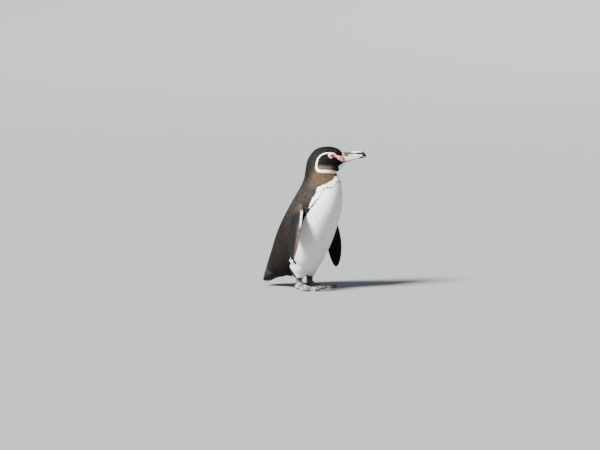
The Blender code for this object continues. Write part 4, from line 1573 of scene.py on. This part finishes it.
def lay_body_coat():
    """The body's feathers in their markings, parted into pieces under 200,000 triangles.

    A feather takes the markings of the place where its tip shows. On the head each of its points
    takes its own as well, so that the cheek's edge is drawn finely.
    """
    place, turn, shade, leaves, leaf_places, leaf_turns = body_coat()
    seen = tip_place(place, turn, by_table(BODY_LENGTH, place))
    marks = np.repeat(body_markings(seen, turn)[:, None], LEAF_POINTS, axis=1)
    fine = place > 8.0
    own_places = 0.6 * leaf_places[fine] + 0.4 * seen[fine, None]
    own_turns = 0.6 * leaf_turns[fine] + 0.4 * turn[fine, None]
    marks[fine] = body_markings(own_places, own_turns)
    side = side_degrees(turn)
    # Dark specks on the white breast: one feather in two hundred.
    stray = (side > 118) & (seen > 3.6) & (seen < 6.3) & (rng.uniform(0, 1, len(seen)) < 0.005)
    marks[stray] = (0.04, 0.6, 0.5)

    left = np.sin(turn) >= 0
    head = place > HEAD_LOW
    neck = (place > NECK_LOW) & ~head
    rump = place < RUMP_TOP
    trunk = ~(head | neck | rump)
    back = trunk & (side < BACK_EDGE)
    front = trunk & ~back
    pieces = {
        "coat_head_left": (head & left, "dark_feathers", "head"),
        "coat_head_right": (head & ~left, "dark_feathers", "head"),
        "coat_neck": (neck, "brown_feathers", "neck"),
        "coat_back_left": (back & left, "dark_feathers", "trunk"),
        "coat_back_right": (back & ~left, "dark_feathers", "trunk"),
        "coat_breast": (front & (place > BELLY_TOP), "dark_feathers", "trunk"),
        "coat_belly": (front & (place <= BELLY_TOP), "dark_feathers", "trunk"),
        "coat_rump": (rump, "dark_feathers", "trunk"),
    }
    for name, (chosen, slot, cad_node) in pieces.items():
        share = place[chosen] - place[chosen].min()
        share = share / (share.max() + 1e-6)
        feathers = leaves[chosen], marks[chosen], shade[chosen], turn[chosen], share
        coat(name, *feathers, FEATHERS, slot, [cad_node])


def flipper_coat(side):
    """Short scale feathers down the blade, slanting towards its trailing edge."""
    surface = partial(flipper_at, side)
    place, turn = roots(surface, 0.02, BLADE_END, blade_spacing, 9, 120, 96)
    keep = ~in_body(surface(place, turn, COAT_FLIPPER), SINKING)
    place, turn = place[keep], turn[keep]
    length, width, yaw, sunk, shade = cut_feathers(
        by_table(BLADE_LENGTH, place), (0.9, 1.1), (0.52, 0.60), 4.0, COAT_FLIPPER, 0.06
    )
    yaw = yaw + math.radians(16) * np.sin(turn) * np.abs(np.sin(turn)) * side_sign(side)
    leaves = lay(
        surface, place, turn, length, width, yaw, sunk,
        sense=1, thick=0.16, camber=0.16, lie=1.4, hold=(0, 6.99),
    )[0]
    feathers = leaves, flipper_markings(place, turn), shade, turn, place / (len(FLIPPER) - 1)
    coat("coat_flipper_" + side, *feathers, FLIPPER_FEATHERS, "flipper_feathers", ["flipper_" + side])


def leg_coat(side):
    """Soft feathers down the cuff to the top of the shank."""
    surface = partial(leg_at, side)
    place, turn = roots(surface, 0.0, 2.9, cuff_spacing, 17, 60, 72)
    keep = ~in_body(surface(place, turn, COAT_LEG), SINKING, -2.0, 3.0)
    place, turn = place[keep], turn[keep]
    length, width, yaw, sunk, shade = cut_feathers(
        by_table(CUFF_LENGTH, place), (0.85, 1.15), (0.40, 0.5), 9, COAT_LEG, 0.2
    )
    leaves = lay(
        surface, place, turn, length, width, yaw, sunk,
        sense=1, thick=0.13, camber=0.1, lie=1.4, hold=(0, 3.0),
    )[0]
    feathers = leaves, leg_markings(place, turn), shade, turn, place / (len(LEG) - 1)
    coat("coat_leg_" + side, *feathers, FEATHERS, "dark_feathers", ["leg_" + side])


# ---------------------------------------------------------------- tail

# Round a tail feather: place across it, and how far that place stands out, highest at the shaft.
VANE_ACROSS = np.array([-1.0, -0.5, -0.08, 0.0, 0.08, 0.5, 1.0, 0.5, 0.0, -0.5])
VANE_FACE = np.array([0.0, 0.6, 0.8, 2.0, 0.8, 0.6, 0.0, -0.6, -0.9, -0.6])
# Along it: its width, drawn to a point, and how deep it lies.
VANE_OUTLINE = ((0, 0.5), (0.2, 0.85), (0.6, 1.0), (0.78, 0.74), (0.91, 0.40), (1.0, 0.05))
VANE_DEPTH = ((0, 2.5), (0.3, 1.5), (1, 0.5))
VANE_SHARE = np.linspace(0, 1, 22)
# The layers: degrees from the back to a layer's middle, half the fan's spread, number of feathers.
TAIL_LAYERS = ((0, 84, 11), (180, 72, 9))
TAIL_START = -0.35
TAIL_END = -3.93


def tail_vane(middle, fan, turn, rank):
    """One stiff tail feather: a thin closed blade with a raised shaft, laid along the tail.

    Depth = base(share) + 0.13 * rank - 0.3 * sign(turn) * across - 0.2 * face, so that it lies under
    its neighbour nearer the middle. The middle ones are the longest.
    """
    end = TAIL_END + 0.42 * (turn / fan) ** 2 + rng.uniform(-0.04, 0.20)
    place = np.linspace(TAIL_START, end, len(VANE_SHARE))
    tail_half = np.maximum(through(RIB_ROWS, place + VENT_RIB)[:, 4], 6)
    wide = rng.uniform(5.0, 6.0) * by_table(VANE_OUTLINE, VANE_SHARE) / tail_half
    turns = math.radians(middle + turn) + wide[:, None] * VANE_ACROSS
    depth = by_table(VANE_DEPTH, VANE_SHARE)[:, None] + 0.13 * rank
    depth = depth - 0.3 * np.sign(turn) * VANE_ACROSS - 0.2 * VANE_FACE
    points, faces = closed_loft(body_at(place[:, None] + 0 * turns, turns, depth))
    marks = np.tile([0, 0, 0, rng.uniform(0, 1)], (len(points), 1))
    underside = VANE_FACE < 0
    along, across = net(VANE_SHARE, 0.5 + 0.5 * VANE_ACROSS)
    vane = grid_values(np.stack([across + 0.02 * underside, along - 0.02 * underside], axis=-1))
    vane[-2:, 1] += (0.03, -0.03)
    return points, faces, marks, vane


def tail_vanes():
    """The tail's two layers of feathers, above and below, as one piece."""
    made = []
    for middle, fan, count in TAIL_LAYERS:
        for number, turn in enumerate(np.linspace(-fan, fan, count)):
            made.append(tail_vane(middle, fan, turn, abs(number - (count - 1) / 2)))
    points, faces, marks, vanes = zip(*made)
    sheets = [
        np.vstack([sheet + number * len(points[0]) for number, sheet in enumerate(kind)])
        for kind in zip(*faces)
    ]
    spots = [PATCH * vane + (0.03 + 0.047 * number, 0.4) for number, vane in enumerate(vanes)]
    mesh = mesh_from("tail_vanes", np.vstack(points), sheets)
    mesh.set_sharp_from_angle(angle=math.radians(60))
    paint(mesh, "markings", np.vstack(marks))
    chart(mesh, "Vane", np.vstack(vanes))
    chart(mesh, "OFBake", np.vstack(spots))
    put("tail_vanes", mesh, TAIL_VANES, "brown_feathers", ["tail"])


# ---------------------------------------------------------------- studio

PAPER = (0.165, 0.172, 0.18, 1)
PAPER_SIDES = 96
# The paper from its middle outwards: metres from the middle, height. It bends up into a wall.
PAPER_PROFILE = (
    (0.02, 0), (3, 0), (6, 0), (9, 0), (10.2, 0.12), (11.2, 0.55), (11.9, 1.3), (12.2, 2.6), (12.2, 7.0)
)
SKY = (0.66, 0.80, 1.0, 1)
SKY_STRENGTH = 0.40
KEY = (1.0, 0.97, 0.92)
KEY_STRENGTH = 21.0
KEY_SPREAD = math.radians(15)
KEY_FROM = Vector((-0.24, -0.66, 0.72)).normalized()
CAMERA_TURN = math.radians(33)
CAMERA_RISE = math.radians(5.5)
CAMERA_DISTANCE = 6.0
CAMERA_ASIDE = -0.0293
CAMERA_UP = 0.1549
CAMERA_LENS = 147.5


def studio():
    """A pale floor that rises into a wall all round, a large soft key, and an even sky."""
    made, tree, shader = finish("studio_paper", {"Base Color": PAPER, "Roughness": 0.9})
    profile = np.array(PAPER_PROFILE, float)
    reach, turn = net(profile[:, 0], circle(PAPER_SIDES))
    height = np.repeat(profile[:, 1:], PAPER_SIDES, axis=1)
    rings = np.stack([reach * np.cos(turn), reach * np.sin(turn), height], axis=-1)
    grid = np.arange(reach.size).reshape(reach.shape)
    beside = np.roll(grid, -1, axis=1)
    walls = np.stack([grid[:-1], grid[1:], beside[1:], beside[:-1]], axis=-1).reshape(-1, 4)
    mesh = bpy.data.meshes.new("studio_floor")
    mesh.from_pydata(rings.reshape(-1, 3).tolist(), [], walls.tolist() + [grid[0].tolist()])
    mesh.shade_smooth()
    mesh.materials.append(made)
    floor = add("studio_floor", mesh)
    floor.visible_shadow = False

    world = bpy.data.worlds.new("even_sky")
    bpy.context.scene.world = world
    world.use_nodes = True
    sky = world.node_tree.nodes["Background"]
    sky.inputs["Color"].default_value = SKY
    sky.inputs["Strength"].default_value = SKY_STRENGTH

    key = bpy.data.lights.new("key", "SUN")
    key.energy = KEY_STRENGTH
    key.angle = KEY_SPREAD
    key.color = KEY
    holder = add("key", key)
    holder.location = KEY_FROM * 4
    holder.rotation_euler = KEY_FROM.to_track_quat("Z", "Y").to_euler()


def camera():
    """Square to the bird's right side and a little ahead, just above its head, on a long lens."""
    turn, rise = CAMERA_TURN, CAMERA_RISE
    back = Vector((math.sin(turn) * math.cos(rise), -math.cos(turn) * math.cos(rise), math.sin(rise)))
    across = Vector((math.cos(turn), math.sin(turn), 0.0))
    aim = Vector(SHIFT) + across * CAMERA_ASIDE + back.cross(across) * CAMERA_UP
    lens = bpy.data.cameras.new("camera")
    lens.lens = CAMERA_LENS
    lens.sensor_width = 36.0
    lens.clip_end = 60.0
    holder = add("camera", lens)
    holder.location = aim + back * CAMERA_DISTANCE
    holder.rotation_euler = back.to_track_quat("Z", "Y").to_euler()
    bpy.context.scene.camera = holder


# ---------------------------------------------------------------- the whole bird

joined_skin()
for side in SIDES:
    eyeball(side)
bill_half("upper", UPPER_BILL, upper_relief, UPPER_HORN, "dark_horn")
bill_half("lower", LOWER_BILL, lower_relief, LOWER_HORN, "pale_horn")
for side in SIDES:
    claws(side)
lay_body_coat()
for side in SIDES:
    flipper_coat(side)
    leg_coat(side)
tail_vanes()
studio()
camera()
